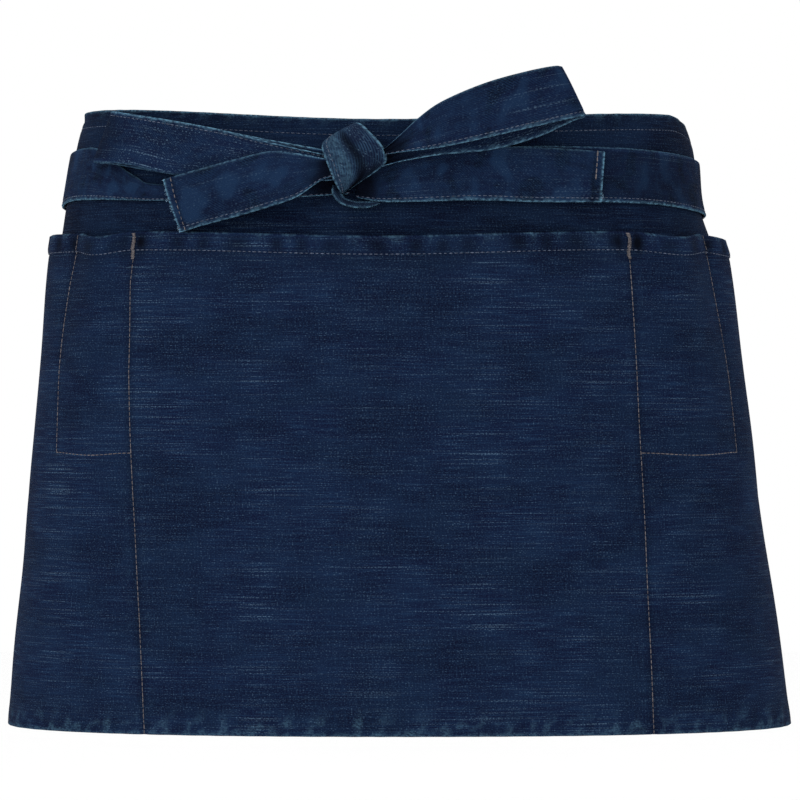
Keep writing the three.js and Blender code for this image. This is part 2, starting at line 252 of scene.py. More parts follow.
def outline_at(height):
    """Half width, front depth, back depth and sideways shift of the form's outline at each height."""
    form = settings("apron_form")
    top = form.waist_edge + form.edge_rise / 2
    down = np.clip((top - height) / (top + form.hem_drop), 0, 1)
    spread = down**form.flare_bend
    near = 1 - smoothstep(np.abs(height - form.cinch_height), 0, form.cinch_reach)
    drawn_in = form.cinch / 2 * near
    half = lerp(form.waist_half_width, form.hem_half_width, spread) - drawn_in
    front = lerp(form.waist_front, form.hem_front, spread)
    back = lerp(form.waist_back, form.hem_back, spread)
    return half, front, back, form.hem_shift * down - drawn_in


def outline_points(turn, half, front, back):
    """Points of an outline round the axis, where turn is 0 at the front and pi at the back."""
    squareness = settings("apron_form").squareness
    depth = np.where(turn * 2 <= math.pi, front, back)
    across = np.abs(np.sin(turn) / half) ** squareness
    along = np.abs(np.cos(turn) / depth) ** squareness
    radius = (across + along) ** (-1 / squareness)
    return np.sin(turn) * radius, -np.cos(turn) * radius


def bend_run(arc, lift, height):
    """Bends one run of flat points round the form."""
    half, front, back, shift = outline_at(height)
    x, y = outline_points(TURNS, half[:, None], front[:, None], back[:, None])
    steps = np.hypot(np.diff(x), np.diff(y))
    arcs = np.concatenate([np.zeros((len(arc), 1)), np.cumsum(steps, 1)], 1)
    girth = arcs[:, -1]
    wrapped = np.where(np.abs(arc) > girth, arc - 2 * girth * np.sign(arc), arc)
    away = np.minimum(np.abs(wrapped), girth)
    low = np.clip((arcs <= away[:, None]).sum(1) - 1, 0, OUTLINE_STEPS - 1)
    rows = np.arange(len(arc))
    share = (away - arcs[rows, low]) / (arcs[rows, low + 1] - arcs[rows, low])
    x, y = outline_points((low + share) * math.pi / OUTLINE_STEPS, half, front, back)
    depth = np.where(y < 0, front, back)
    power = settings("apron_form").squareness - 1
    normal_x = np.abs(x / half) ** power / half
    normal_y = np.sign(y) * np.abs(y / depth) ** power / depth
    scale = lift / np.hypot(normal_x, normal_y)
    side = np.where(wrapped < 0, -1, 1)
    return np.stack([side * (x + normal_x * scale) + shift, y + normal_y * scale, height], 1)


def on_form(arc, lift, height):
    """Flat points, as arc round the waist, lift off the form and height, bent round the worn form."""
    arc, lift, height = np.broadcast_arrays(arc, lift, height)
    flat = [np.ascontiguousarray(a, float).ravel() for a in (arc, lift, height)]
    runs = [bend_run(*(a[i : i + RUN] for a in flat)) for i in range(0, flat[0].size, RUN)]
    return np.concatenate(runs).reshape(*arc.shape, 3)


def half_girth(height):
    """Half the way round the form at each height."""
    half, front, back, _ = outline_at(height[:, None])
    x, y = outline_points(TURNS, half, front, back)
    return np.hypot(np.diff(x), np.diff(y)).sum(1)


def spline(points, t):
    """A Catmull-Rom curve through the points, read at t from 0 to 1."""
    points = np.asarray(points, float)
    ended = np.vstack([2 * points[0] - points[1], points, 2 * points[-1] - points[-2]])
    place = np.clip(t, 0, 1) * (len(points) - 1)
    first = np.minimum(place.astype(int), len(points) - 2)
    w = (place - first)[:, None]
    p0, p1, p2, p3 = (ended[first + k] for k in range(4))
    t0, t1 = (p2 - p0) / 2, (p3 - p1) / 2
    square, cube = -3 * p1 + 3 * p2 - 2 * t0 - t1, 2 * p1 - 2 * p2 + t0 + t1
    return p1 + t0 * w + square * w**2 + cube * w**3


def unit(vectors):
    """The vectors at a length of 1."""
    return vectors / np.maximum(np.linalg.norm(vectors, axis=-1, keepdims=True), 1e-12)


# Meshes


def shell_faces(along, across):
    """Faces of a closed wall whose rings hold an outer face, a rim, an inner face and a rim."""
    ring = 2 * across + 2
    faces, inner = [], []
    for i in range(along - 1):
        for j in range(ring):
            after = (j + 1) % ring
            faces.append((i * ring + j, (i + 1) * ring + j, (i + 1) * ring + after, i * ring + after))
            inner.append(across + 1 <= j < 2 * across)
    for end, turned in ((0, False), (along - 1, True)):
        first = end * ring
        cap = [
            (first + j, first + j + 1, first + 2 * across - 1 - j, first + 2 * across - j)
            for j in range(across - 1)
        ]
        cap.append((first + across - 1, first + across, first + across + 1))
        cap.append((first, first + 2 * across, first + 2 * across + 1))
        faces += [face[::-1] if turned else face for face in cap]
        inner += [False] * len(cap)
    return faces, inner


def signed_volume(points, faces):
    """The volume inside the faces, negative where they face inwards."""
    corners = np.array([(face[0], face[k], face[k + 1]) for face in faces for k in range(1, len(face) - 1)])
    a, b, c = (points[corners[:, k]] for k in range(3))
    return float((a * np.cross(b, c)).sum())


def new_mesh(name, points, faces, flat=None, fade=None, second=None, materials=()):
    """A smooth mesh with its cloth map, its wear and painted shade, and its materials."""
    mesh = bpy.data.meshes.new(name)
    mesh.from_pydata(points.tolist(), [], faces)
    if flat is not None:
        corner = np.empty(len(mesh.loops), np.int32)
        mesh.loops.foreach_get("vertex_index", corner)
        layer = mesh.uv_layers.new(name=CLOTH_MAP)
        layer.uv.foreach_set("vector", flat[corner].astype(np.float32).ravel())
    if fade is not None:
        attribute = mesh.attributes.new(WEAR_AND_SHADE, "FLOAT", "POINT")
        attribute.data.foreach_set("value", fade.astype(np.float32).ravel())
    for material in materials:
        mesh.materials.append(material)
    if second is not None:
        mesh.polygons.foreach_set("material_index", np.array(second, np.int32))
    mesh.polygons.foreach_set("use_smooth", np.ones(len(mesh.polygons), bool))
    mesh.update()
    return mesh


def shell_mesh(name, outer, inner, flat, fade, materials, rim=0.3):
    """A closed wall of cloth between two grids of points; its inner face has the second material."""
    along, across = outer.shape[:2]
    rims = []
    for edge, inside in ((-1, -2), (0, 1)):
        thick = np.linalg.norm(outer[:, edge] - inner[:, edge], axis=1)[:, None]
        outwards = unit(outer[:, edge] - outer[:, inside] + inner[:, edge] - inner[:, inside])
        rims.append((outer[:, edge] + inner[:, edge]) / 2 + outwards * thick * rim)
    points = np.concatenate([outer, rims[0][:, None], inner[:, ::-1], rims[1][:, None]], 1)
    maps = np.concatenate([flat, flat[:, -1:], flat[:, ::-1], flat[:, :1]], 1)
    wear_and_shade_rings = np.concatenate([fade, fade[:, -1:], fade[:, ::-1], fade[:, :1]], 1)
    faces, second = shell_faces(along, across)
    points = points.reshape(-1, 3)
    if signed_volume(points, faces) < 0:
        faces = [face[::-1] for face in faces]
    return new_mesh(name, points, faces, maps.reshape(-1, 2), wear_and_shade_rings.ravel(), second, materials)


def new_piece(name, mesh, slot, *nodes):
    """The mesh as a piece of the object, which may stand for nodes of the frame."""
    piece = bpy.data.objects.new(name, mesh)
    bpy.context.scene.collection.objects.link(piece)
    if nodes:
        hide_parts(*nodes)
    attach(piece, BODY)
    return piece


# The two panels of cloth


# Bands along edges, hems and seams: the strength of each, and its middle and reach in millimetres. Relief is
# as high as its strength in millimetres. Wear is a share of the way to rubbed cloth, and shade is painted
# shade, a share of the way to the deep tint.
BANDS = {
    "mouth_puckers": (1, 5, 4.5),
    "mouth_groove": (0.5, 0.4, 1.1),
    "mouth_edge_wear": (0.2, 0, 0.6),
    "mouth_hem_shade": (0.2, 6, 7),
    "below_mouth_shade": (0.25, 15, 5),
    "hem_puckers": (1, 6, 6),
    "hem_edge_wear": (0.16, 0, 1.5),
    "hem_wear": (0.16, 4, 5),
    "seam_groove": (0.45, 0, 1.3),
    "seam_puckers": (1, 3.5, 2.5),
    "seam_shade": (0.4, 0, 2.2),
    "tacked": (1, 6, 9),
    "tack_shade": (0.55, 5, 3),
    "waist_groove": (0.3, 0, 0.9),
    "waist_puckers": (1, 0, 3.5),
    "waist_edge_wear": (0.35, 0, 0.7),
    "side_edge_wear": (0.6, 0, 1),
    "sewn_edge_wear": (0.72, 0, 0.7),
    "folded_edge_wear": (0.3, 0, 0.7),
    "pulled_edge_wear": (0.45, 0, 0.9),
    "tie_groove": (0.35, 0, 0.7),
    "tie_puckers": (0.14, 1.2, 1.5),
    "tie_pucker_wear": (0.16, 1.3, 1),
    "end_groove": (0.4, 3.2, 0.8),
    "end_wear": (0.9, 0, 0.7),
    "end_shade": (0.4, 4, 1),
    "knot_edge_wear": (0.85, 0, 0.7),
}


def band(name, away):
    """One band of the table, over the distances from its edge or seam."""
    strength, middle, reach = BANDS[name]
    return strength * bell(away, middle * MM, reach * MM)


def rounding(away, reach, drop):
    """How far a rounded edge falls off within its reach, over the distances from the edge."""
    share = 1 - np.clip(away / reach, 0, 1)
    return drop * (1 - np.sqrt(1 - share**2))


# How far the long seams wander from straight lines, both in millimetres
SEAM_WANDER = table(
    "height left right",
    [
        [-314, 3.2, 2.8],
        [-250, 1.6, 2.2],
        [-180, -1.6, 1],
        [-110, -3.1, -0.2],
        [-60, -1.2, -1.6],
        [-31, 3.0, -2.8],
    ],
)


def wander(height, side):
    """How far a long seam is off its straight line at a height."""
    return np.interp(height, SEAM_WANDER["height"] * MM, SEAM_WANDER[side] * MM)


# The cloth has seven zones from its left end to its right: side hem, outer part, small pocket, centre pocket,
# small pocket, outer part and side hem. A place counts them, so that 3.5 is the middle of the centre pocket.
LAST_ZONE = 6
OUTER_ZONES = (1, 5)
SHORT_SEAMS = (2, 5)
LONG_SEAMS = (3, 4)


def zone_bounds(height):
    """The arcs of the zones' bounds at each height."""
    form, cloth = settings("apron_form"), settings("apron_cloth")
    below = np.clip((-form.mouth_drop - height) / cloth.side_depth, 0, 1)
    lean = cloth.lean * (1 - below) ** 2
    share = np.clip((form.waist_edge - height) / (form.waist_edge + form.hem_drop), 0, 1)
    half = lerp(cloth.half_waist, cloth.half_hem, share)
    left = cloth.centre_shift - cloth.centre_width / 2 + wander(height, "left")
    right = cloth.centre_shift + cloth.centre_width / 2 + wander(height, "right")
    left_side = [-half, -half + cloth.side_hem, left - cloth.left_width + lean, left]
    right_side = [right, right + cloth.right_width - lean, half - cloth.side_hem, half]
    return np.stack(left_side + right_side)


def zone_of(place):
    """The zone of each place, and its share of the way across the zone."""
    zone = np.clip(place.astype(int), 0, LAST_ZONE)
    return zone, place - zone


def pocket_span():
    """The pocket cloth's height from its mouth to its hem."""
    form = settings("apron_form")
    return form.hem_drop - form.mouth_drop


def gape_at(place, depth):
    """How far the pocket cloth stands off at a depth below its mouth."""
    cloth, span = settings("apron_cloth"), pocket_span()
    outer, side = cloth.outer_gape_depth, cloth.side_depth
    zone, share = zone_of(place)
    gapes = [0, cloth.left_gape, cloth.side_gape, cloth.centre_gape, cloth.side_gape, cloth.right_gape, 0]
    reaches = [span, outer, side, span, side, outer, span]
    # The outer gapes are fullest near the small pockets' seams
    skewed = np.where(zone == OUTER_ZONES[0], np.sqrt(np.abs(1 - share)), share)
    skewed = np.where(zone == OUTER_ZONES[1], np.sqrt(np.abs(share)), skewed)
    fullness = np.sin(math.pi * skewed) ** 2
    return np.take(gapes, zone) * fullness * np.clip(1 - depth / np.take(reaches, zone), 0, 1)


def arc_at(place, height):
    """The arc of a place at a height."""
    bounds = zone_bounds(height)
    zone, share = zone_of(place)
    low = np.take_along_axis(bounds, zone[None], 0)[0]
    high = np.take_along_axis(bounds, zone[None] + 1, 0)[0]
    return lerp(low, high, share)


def mouth_height(place):
    """The height of the pocket mouth."""
    form, cloth = settings("apron_form"), settings("apron_cloth")
    zone, _ = zone_of(place)
    sags = [0, 0, cloth.mouth_sag, cloth.mouth_sag, cloth.mouth_sag, cloth.right_sag, 0]
    return -form.mouth_drop - np.take(sags, zone) * gape_at(place, 0 * place)


def waist_edge_height(place):
    """The height of the waist edge."""
    form = settings("apron_form")
    arc = arc_at(place, form.waist_edge + 0 * place)
    away = np.abs(arc)
    start = np.where(arc < 0, form.left_dip_arc, form.right_dip_arc)
    fall = np.where(arc < 0, form.left_dip, form.right_dip)
    dip = fall * smoothstep(away, start, start + form.edge_dip_run)
    rise = form.edge_rise - np.sign(arc) * form.edge_tilt
    return form.waist_edge + rise * smoothstep(away, 0, form.edge_rise_arc) - dip


def roping(arc, depth, pitch, slant, seed):
    """The slanting puckers that a sewn hem twists into, from -1 to 1."""
    uneven = 1.4 * waves(arc, depth, pitch * 2.6, seed)
    lively = 0.62 + 0.38 * waves(arc, depth, pitch * 4, seed + 1)
    return np.sin(math.tau * (arc + slant * depth) / pitch + 1.5 * uneven) * lively


# The puckers of each sewn hem: from one to the next, their slant and their seed
MOUTH_PUCKERS = (19 * MM, 0.25, SEED)
HEM_PUCKERS = (18 * MM, 0.5, SEED + 3)
WAIST_PUCKERS = (15 * MM, 0.6, SEED + 20)
# How dark and how pale the mouth's puckers get at most, before their strength of wear and painted shade
MOUTH_PUCKER_LIMITS = (-1.6, 0.34)
# The puckers' ridges are rubbed pale as worn hems are, and their valleys darkened, partly as painted shade
MOUTH_PUCKER_FADE = 0.6
HEM_PUCKER_FADE = 0.1
WAIST_PUCKER_FADE = 0.12
WAIST_PUCKER_HEIGHT = 0.25 * MM
# Where the mouth's turned hem ends, its wall thins over this length
HEM_STEP = 1.5 * MM
# The tugs beside a seam: from one to the next, their height and their strength of wear and painted shade
SEAM_TUG = (8 * MM, 0.16 * MM, 0.07)
SHORT_SEAM_STRENGTH = 0.7
# Long soft waves of the pocket cloth: their length, their height and where above the hem they are full
SOFT_WAVES = (70 * MM, 0.5 * MM, 40 * MM)


def pocket_layout(place, depth):
    """Arc, inside lift, wall, height, and the wear and painted shade, of the pocket cloth at a depth below
    its mouth.
    """
    form, cloth, span = settings("apron_form"), settings("apron_cloth"), pocket_span()
    place, depth = np.broadcast_arrays(place, depth)
    hem = span - depth
    height = lerp(mouth_height(place), -form.hem_drop, depth / span)
    arc = arc_at(place, height)
    inside = cloth.thick + cloth.clearance + gape_at(place, depth)
    turned = 1 - smoothstep(depth, cloth.mouth_hem, cloth.mouth_hem + HEM_STEP)
    wall = lerp(cloth.thick, cloth.mouth_thick, turned)
    mouth_ropes = roping(arc, depth, *MOUTH_PUCKERS) * band("mouth_puckers", depth)
    hem_ropes = roping(arc, depth, *HEM_PUCKERS) * band("hem_puckers", hem)
    wall = wall + cloth.puckers * (mouth_ropes + hem_ropes)
    wall = wall - MM * band("mouth_groove", depth - cloth.mouth_hem)
    patches = 0.5 + 0.5 * waves(arc, depth, 60 * MM, SEED + 2)
    spots = np.clip(waves(arc, depth, 9 * MM, SEED + 31), -1, 1)
    fade = MOUTH_PUCKER_FADE * np.clip(mouth_ropes, *MOUTH_PUCKER_LIMITS) + HEM_PUCKER_FADE * hem_ropes
    fade = fade + band("mouth_edge_wear", depth) + band("hem_edge_wear", hem) + spots * band("hem_wear", hem)
    fade = fade - band("mouth_hem_shade", depth) - patches * band("below_mouth_shade", depth)
    bounds = zone_bounds(height)
    tug_pitch, tug_height, tug_fade = SEAM_TUG
    for seam in sorted(SHORT_SEAMS + LONG_SEAMS):
        long = seam in LONG_SEAMS
        reach = span if long else cloth.side_depth
        here = (depth < reach + 2 * MM) * (1 if long else SHORT_SEAM_STRENGTH)
        away = arc - bounds[seam]
        tug = np.sin(math.tau * depth / tug_pitch + 2 * waves(arc, depth, 20 * MM, SEED + seam))
        tug = tug * band("seam_puckers", np.abs(away)) * here
        wall = wall - MM * band("seam_groove", away) * here + tug_height * tug
        fade = fade - band("seam_shade", away) * here + tug_fade * tug
        if long:
            fade = fade - band("tack_shade", np.abs(away)) * band("tacked", depth)
    wave_length, wave_height, full_at = SOFT_WAVES
    soft = waves(arc, height, wave_length, SEED + 11) * smoothstep(hem, 0, full_at)
    return arc, inside, wall + wave_height * soft, height, fade


def along_zones(steps):
    """Places through the zones, with so many steps in each."""
    made = [np.linspace(zone, zone + 1, count, endpoint=False) for zone, count in enumerate(steps)]
    return np.concatenate([*made, [float(len(steps))]])


def spaced(bounds_mm, steps):
    """Distances in metres between bounds given in millimetres, with so many steps from each to the next."""
    pairs = zip(bounds_mm[:-1], bounds_mm[1:], steps)
    made = [np.linspace(start, end, count, endpoint=False) for start, end, count in pairs]
    return np.concatenate([*made, [bounds_mm[-1]]]) * MM


ZONE_STEPS = (6, 78, 30, 132, 38, 74, 6)
# Rows of the main cloth's mesh: below the mouth, and above it by bounds in millimetres below the waist edge
ROWS_BELOW_MOUTH = 40
WAIST_ROWS = ([0, 0.9, 2.2, 12, 70], [2, 2, 8, 26])
# Rows of the pocket cloth's mesh: steps between bounds at its mouth, its middle and its hem
POCKET_ROW_STEPS = [3, 6, 5, 62, 9, 3]


class APRON_OT_main_cloth(bpy.types.Operator):
    """Makes the main cloth, from the waist edge to the hem, open at the back."""

    bl_idname = "apron.main_cloth"
    bl_label = "Main cloth"

    def execute(self, context):
        form, cloth = settings("apron_form"), settings("apron_cloth")
        place = along_zones(ZONE_STEPS)[:, None]
        bounds, steps = WAIST_ROWS
        low = np.linspace(0, 1, ROWS_BELOW_MOUTH, endpoint=False)[None, :]
        high = 1 - spaced(bounds, steps)[::-1][None, :] / (bounds[-1] * MM)
        mouth, edge = mouth_height(place[:, 0])[:, None], waist_edge_height(place[:, 0])[:, None]
        height = np.concatenate([lerp(-form.hem_drop, mouth, low), lerp(mouth, edge, high)], 1)
        place = np.broadcast_to(place, height.shape)
        arc = arc_at(place, height)
        down = edge - height
        end = np.minimum(place, LAST_ZONE + 1 - place) * cloth.side_hem
        ropes = roping(arc, down, *WAIST_PUCKERS) * band("waist_puckers", down)
        wall = cloth.thick - MM * band("waist_groove", down - cloth.waist_hem) + WAIST_PUCKER_HEIGHT * ropes
        fade = band("waist_edge_wear", down) + WAIST_PUCKER_FADE * ropes + band("side_edge_wear", end)
        # The main cloth's face wears the darkened copy of the slub denim, as painted shade
        seen = [bpy.data.materials[SHADED_SLUB_DENIM], bpy.data.materials[REVERSE_DENIM]]
        outer, inner = on_form(arc, wall, height), on_form(arc, 0 * wall, height)
        mesh = shell_mesh("main_cloth", outer, inner, np.stack([arc, height], 2), fade, seen)
        piece = new_piece("main_cloth", mesh, "body_denim", "apron_panel")
        return {"FINISHED"}


class APRON_OT_pocket_cloth(bpy.types.Operator):
    """Makes the pocket cloth over the lower front, open along its mouth."""

    bl_idname = "apron.pocket_cloth"
    bl_label = "Pocket cloth"

    def execute(self, context):
        cloth = settings("apron_cloth")
        span = pocket_span() / MM
        place = along_zones(ZONE_STEPS)[:, None]
        depth = spaced([0, 1, 9, 12, span - 12, span - 1, span], POCKET_ROW_STEPS)[None, ::-1]
        arc, inside, wall, height, fade = pocket_layout(place, depth)
        seen = [bpy.data.materials[SLUB_DENIM], bpy.data.materials[REVERSE_DENIM]]
        outer, inner = on_form(arc, inside + wall, height), on_form(arc, inside, height)
        mesh = shell_mesh("pocket_cloth", outer, inner, np.stack([arc, height], 2), fade, seen)
        piece = new_piece("pocket_cloth", mesh, "pocket_denim", "pocket_panel")
        return {"FINISHED"}


# Ties and bow


# The ties: at is a share of half the girth, top and low are shares of the tie's width, and on counts layers
TIE_COLUMNS = "at top low on"
TIE_LEFT = table(
    TIE_COLUMNS,
    [
        [1.22, 1.22, 0.24, 0],
        [1.154, 1.22, 0.24, 0],
        [1.08, 0.95, -0.03, 0],
        [1.0, 0.63, -0.36, 0],
        [0.92, 0.32, -0.68, 0],
        [0.846, 0.1, -0.9, 0],
        [0.72, 0.22, -0.78, 0],
        [0.6, 0.4, -0.6, 0],
        [0.5, 0.54, -0.46, 0],
        [0.42, 0.63, -0.38, 0],
        [0.37, 0.56, -0.38, 0],
        [0.31, 0.06, -0.41, 0],
        [0.268, -0.13, -0.43, 0],
        [0.13, -0.1, -0.41, 0],
        [0.04, -0.06, -0.34, 0],
    ],
)
TIE_RIGHT = table(
    TIE_COLUMNS,
    [
        [1.22, 1.22, 0.24, 0],
        [1.19, 1.22, 0.24, 0.1],
        [1.12, 1.1, 0.12, 1],
        [1.0, 0.63, -0.36, 1],
        [0.88, 0.2, -0.8, 1],
        [0.81, 0.08, -0.92, 0.1],
        [0.72, 0.12, -0.88, 0],
        [0.6, 0.24, -0.76, 0],
        [0.5, 0.38, -0.64, 0],
        [0.43, 0.46, -0.58, 0],
        [0.35, 0.54, -0.49, 0],
        [0.27, 0.58, -0.46, 0],
        [0.15, 0.56, -0.46, 0],
        [0.06, 0.4, -0.44, 0],
        [-0.01, 0.2, -0.4, 0],
    ],
)

# The bow's strips: a row for each section along the strip, with its upper and its lower edge. At is a share
# of the reach from the knot, rise a share of the tie's width, on counts layers and puff is a share of the
# piece's puff.
SECTION_COLUMNS = "top_at top_rise top_on top_puff low_at low_rise low_on low_puff"
LEFT_LOOP = table(
    SECTION_COLUMNS,
    [
        [0.05, 0.42, 1.2, 0.3, 0.05, 0, 1.2, 0.3],
        [0.12, 0.5, 1.1, 0, 0.12, -0.06, 1.1, 0],
        [0.3, 0.67, 1, 0, 0.3, -0.1, 1, 0],
        [0.49, 0.87, 1, 0, 0.49, -0.05, 1, 0],
        [0.69, 1.07, 1, 0, 0.7, 0.07, 1, 0],
        [0.86, 1.22, 1, 0, 0.92, 0.26, 1, 0],
        [0.93, 1.28, 1.5, 0.5, 1.01, 0.31, 1.5, 0.5],
        [0.9, 1.27, 2, 1, 0.97, 0.31, 2, 1],
        [0.78, 1.17, 2, 1.15, 0.83, 0.24, 2, 1.1],
        [0.64, 1.04, 2, 1.2, 0.66, 0.04, 2, 1.1],
        [0.48, 0.87, 2, 1.15, 0.48, -0.02, 2, 1],
        [0.3, 0.62, 2, 1, 0.3, -0.06, 2, 1],
        [0.12, 0.41, 2, 0.9, 0.12, -0.1, 2, 0.9],
        [0.05, 0.36, 2, 0.8, 0.05, -0.08, 2, 0.8],
    ],
)
RIGHT_LOOP = table(
    SECTION_COLUMNS,
    [
        [0.08, 0.4, 2.1, 0.05, 0.08, 0.1, 2.1, 0.05],
        [0.2, 0.56, 2, 0.02, 0.2, 0.25, 2, 0.02],
        [0.38, 1.2, 2, 0.1, 0.38, 0.39, 2, 0],
        [0.61, 1.68, 2, 0.18, 0.61, 0.49, 2, 0],
        [0.8, 1.95, 2, 0.2, 0.82, 0.74, 2, 0],
        [0.88, 2.0, 2.1, 0.25, 0.98, 1.05, 2.1, 0.1],
        [0.905, 2.02, 2.5, 0.6, 1.01, 1.1, 2.5, 0.5],
        [0.875, 2.06, 3, 0.95, 0.98, 1.12, 3, 0.9],
        [0.75, 1.95, 3, 1.1, 0.75, 0.88, 3, 1],
        [0.57, 1.72, 3, 1.15, 0.57, 0.69, 3, 1],
        [0.39, 1.38, 3, 1.1, 0.39, 0.52, 3, 0.95],
        [0.29, 1.08, 3, 1, 0.29, 0.46, 3, 0.8],
        [0.2, 0.73, 3, 0.7, 0.2, 0.42, 3, 0.6],
        [0.1, 0.36, 3, 0.35, 0.08, 0.34, 3, 0.3],
    ],
)
LEFT_TAIL = table(
    SECTION_COLUMNS,
    [
        [0.06, 0.27, 3.5, 1, 0.06, -0.02, 3.1, 0.9],
        [0.15, 0.31, 3.5, 1.1, 0.15, -0.08, 3, 0.9],
        [0.28, 0.4, 3.5, 1.3, 0.28, -0.4, 2.8, 0.9],
        [0.42, 0.45, 3.5, 1.5, 0.42, -0.58, 2.5, 0.9],
        [0.6, 0.3, 3.5, 1.6, 0.6, -0.76, 2, 0.8],
        [0.78, 0.13, 3.4, 1.6, 0.78, -0.91, 1.6, 0.6],
        [0.975, -0.05, 2.9, 1.1, 0.92, -1.04, 1.2, 0.4],
    ],
)
RIGHT_TAIL = table(
    SECTION_COLUMNS,
    [
        [0.02, 0, 1, 0, 0.02, -0.42, 1, 0],
        [0.12, 0.25, 1, 0, 0.12, -0.49, 1, 0],
        [0.3, 0.46, 1, 0, 0.3, -0.48, 1, 0],
        [0.5, 0.55, 1, 0, 0.5, -0.45, 1, 0],
        [0.72, 0.55, 1, 0, 0.72, -0.48, 1, 0],
        [1.005, 0.49, 1, 0, 0.998, -0.47, 1, 0],
    ],
)


def base_lift():
    """The lift of the middle of a tie that lies on the cloth."""
    bow, cloth = settings("apron_bow"), settings("apron_cloth")
    return cloth.thick + bow.clearance + bow.thick / 2


def layer_step():
    """The lift from one layer of tie to the next."""
    return settings("apron_bow").thick + settings("apron_cloth").clearance


def tie_edges(rows, side):
    """The two edges of a tie, laid out flat as arc, lift and height."""
    bow = settings("apron_bow")
    made = []
    for key in ("top", "low"):
        height = rows[key] * bow.width
        arc = side * rows["at"] * half_girth(height)
        made.append(np.stack([arc, base_lift() + rows["on"] * layer_step(), height], 1))
    return made


def bow_edges(rows, side, reach, puff):
    """The two edges of a loop or a tail, laid out flat as arc, lift and height."""
    bow = settings("apron_bow")
    made = []
    for edge in ("top", "low"):
        at, rise, on, out = (rows[f"{edge}_{key}"] for key in ("at", "rise", "on", "puff"))
        lift = base_lift() + on * layer_step() + out * puff
        made.append(np.stack([bow.knot_arc + side * at * reach, lift, rise * bow.width], 1))
    return made


# Where the lines of a strip's mesh lie across it, close together at its stitches and rims
ACROSS_MM = [0, 0.5, 1.1, 1.8, 2.4, 3, 4.2, 6.5, 9.5, 13]
ACROSS_MM += [17, 20.5, 23.5, 25.8, 27, 27.6, 28.2, 28.9, 29.5, 30]
ACROSS = np.array(ACROSS_MM) / ACROSS_MM[-1]
# Where along a strip its face is the side away from the form
FACING_AT = 0.85
# The rounding of a strip's rims: its reach, and its drop as a share of the thickness
RIM_REACH = 0.8 * MM
RIM_DROP = 0.45
# The puckers along a sewn edge: from one to the next and their slant
TIE_PUCKERS = (9 * MM, 0.8)
# A tail's turned end: how much it thickens the end, where that starts to fall and ends, and its mesh
END_THICKER = 0.35 * MM
END_FALL = (4 * MM, 6 * MM)
END_HEM = 6 * MM
END_STEPS = 16
# Painted shade beside the knot, painted shade where a loop turns round, and edges rubbed pale by the knot's
# pull:
# full up to the first distance, gone by the second
KNOT_SHADE = (12 * MM, 34 * MM)
TURN_SHADE = (4 * MM, 34 * MM)
EDGE_PULL = (26 * MM, 46 * MM)
KNOT_SHADE_STRENGTH = 0.9
# The shade starts past a strip's rubbed edge
SHADE_START = (1.2 * MM, 3 * MM)
# Soft waves along a strip: their length and height
STRIP_WAVES = (34 * MM, 0.35 * MM)
# A stitch row stands off the cloth by this much
STITCH_PROUD = 0.1 * MM


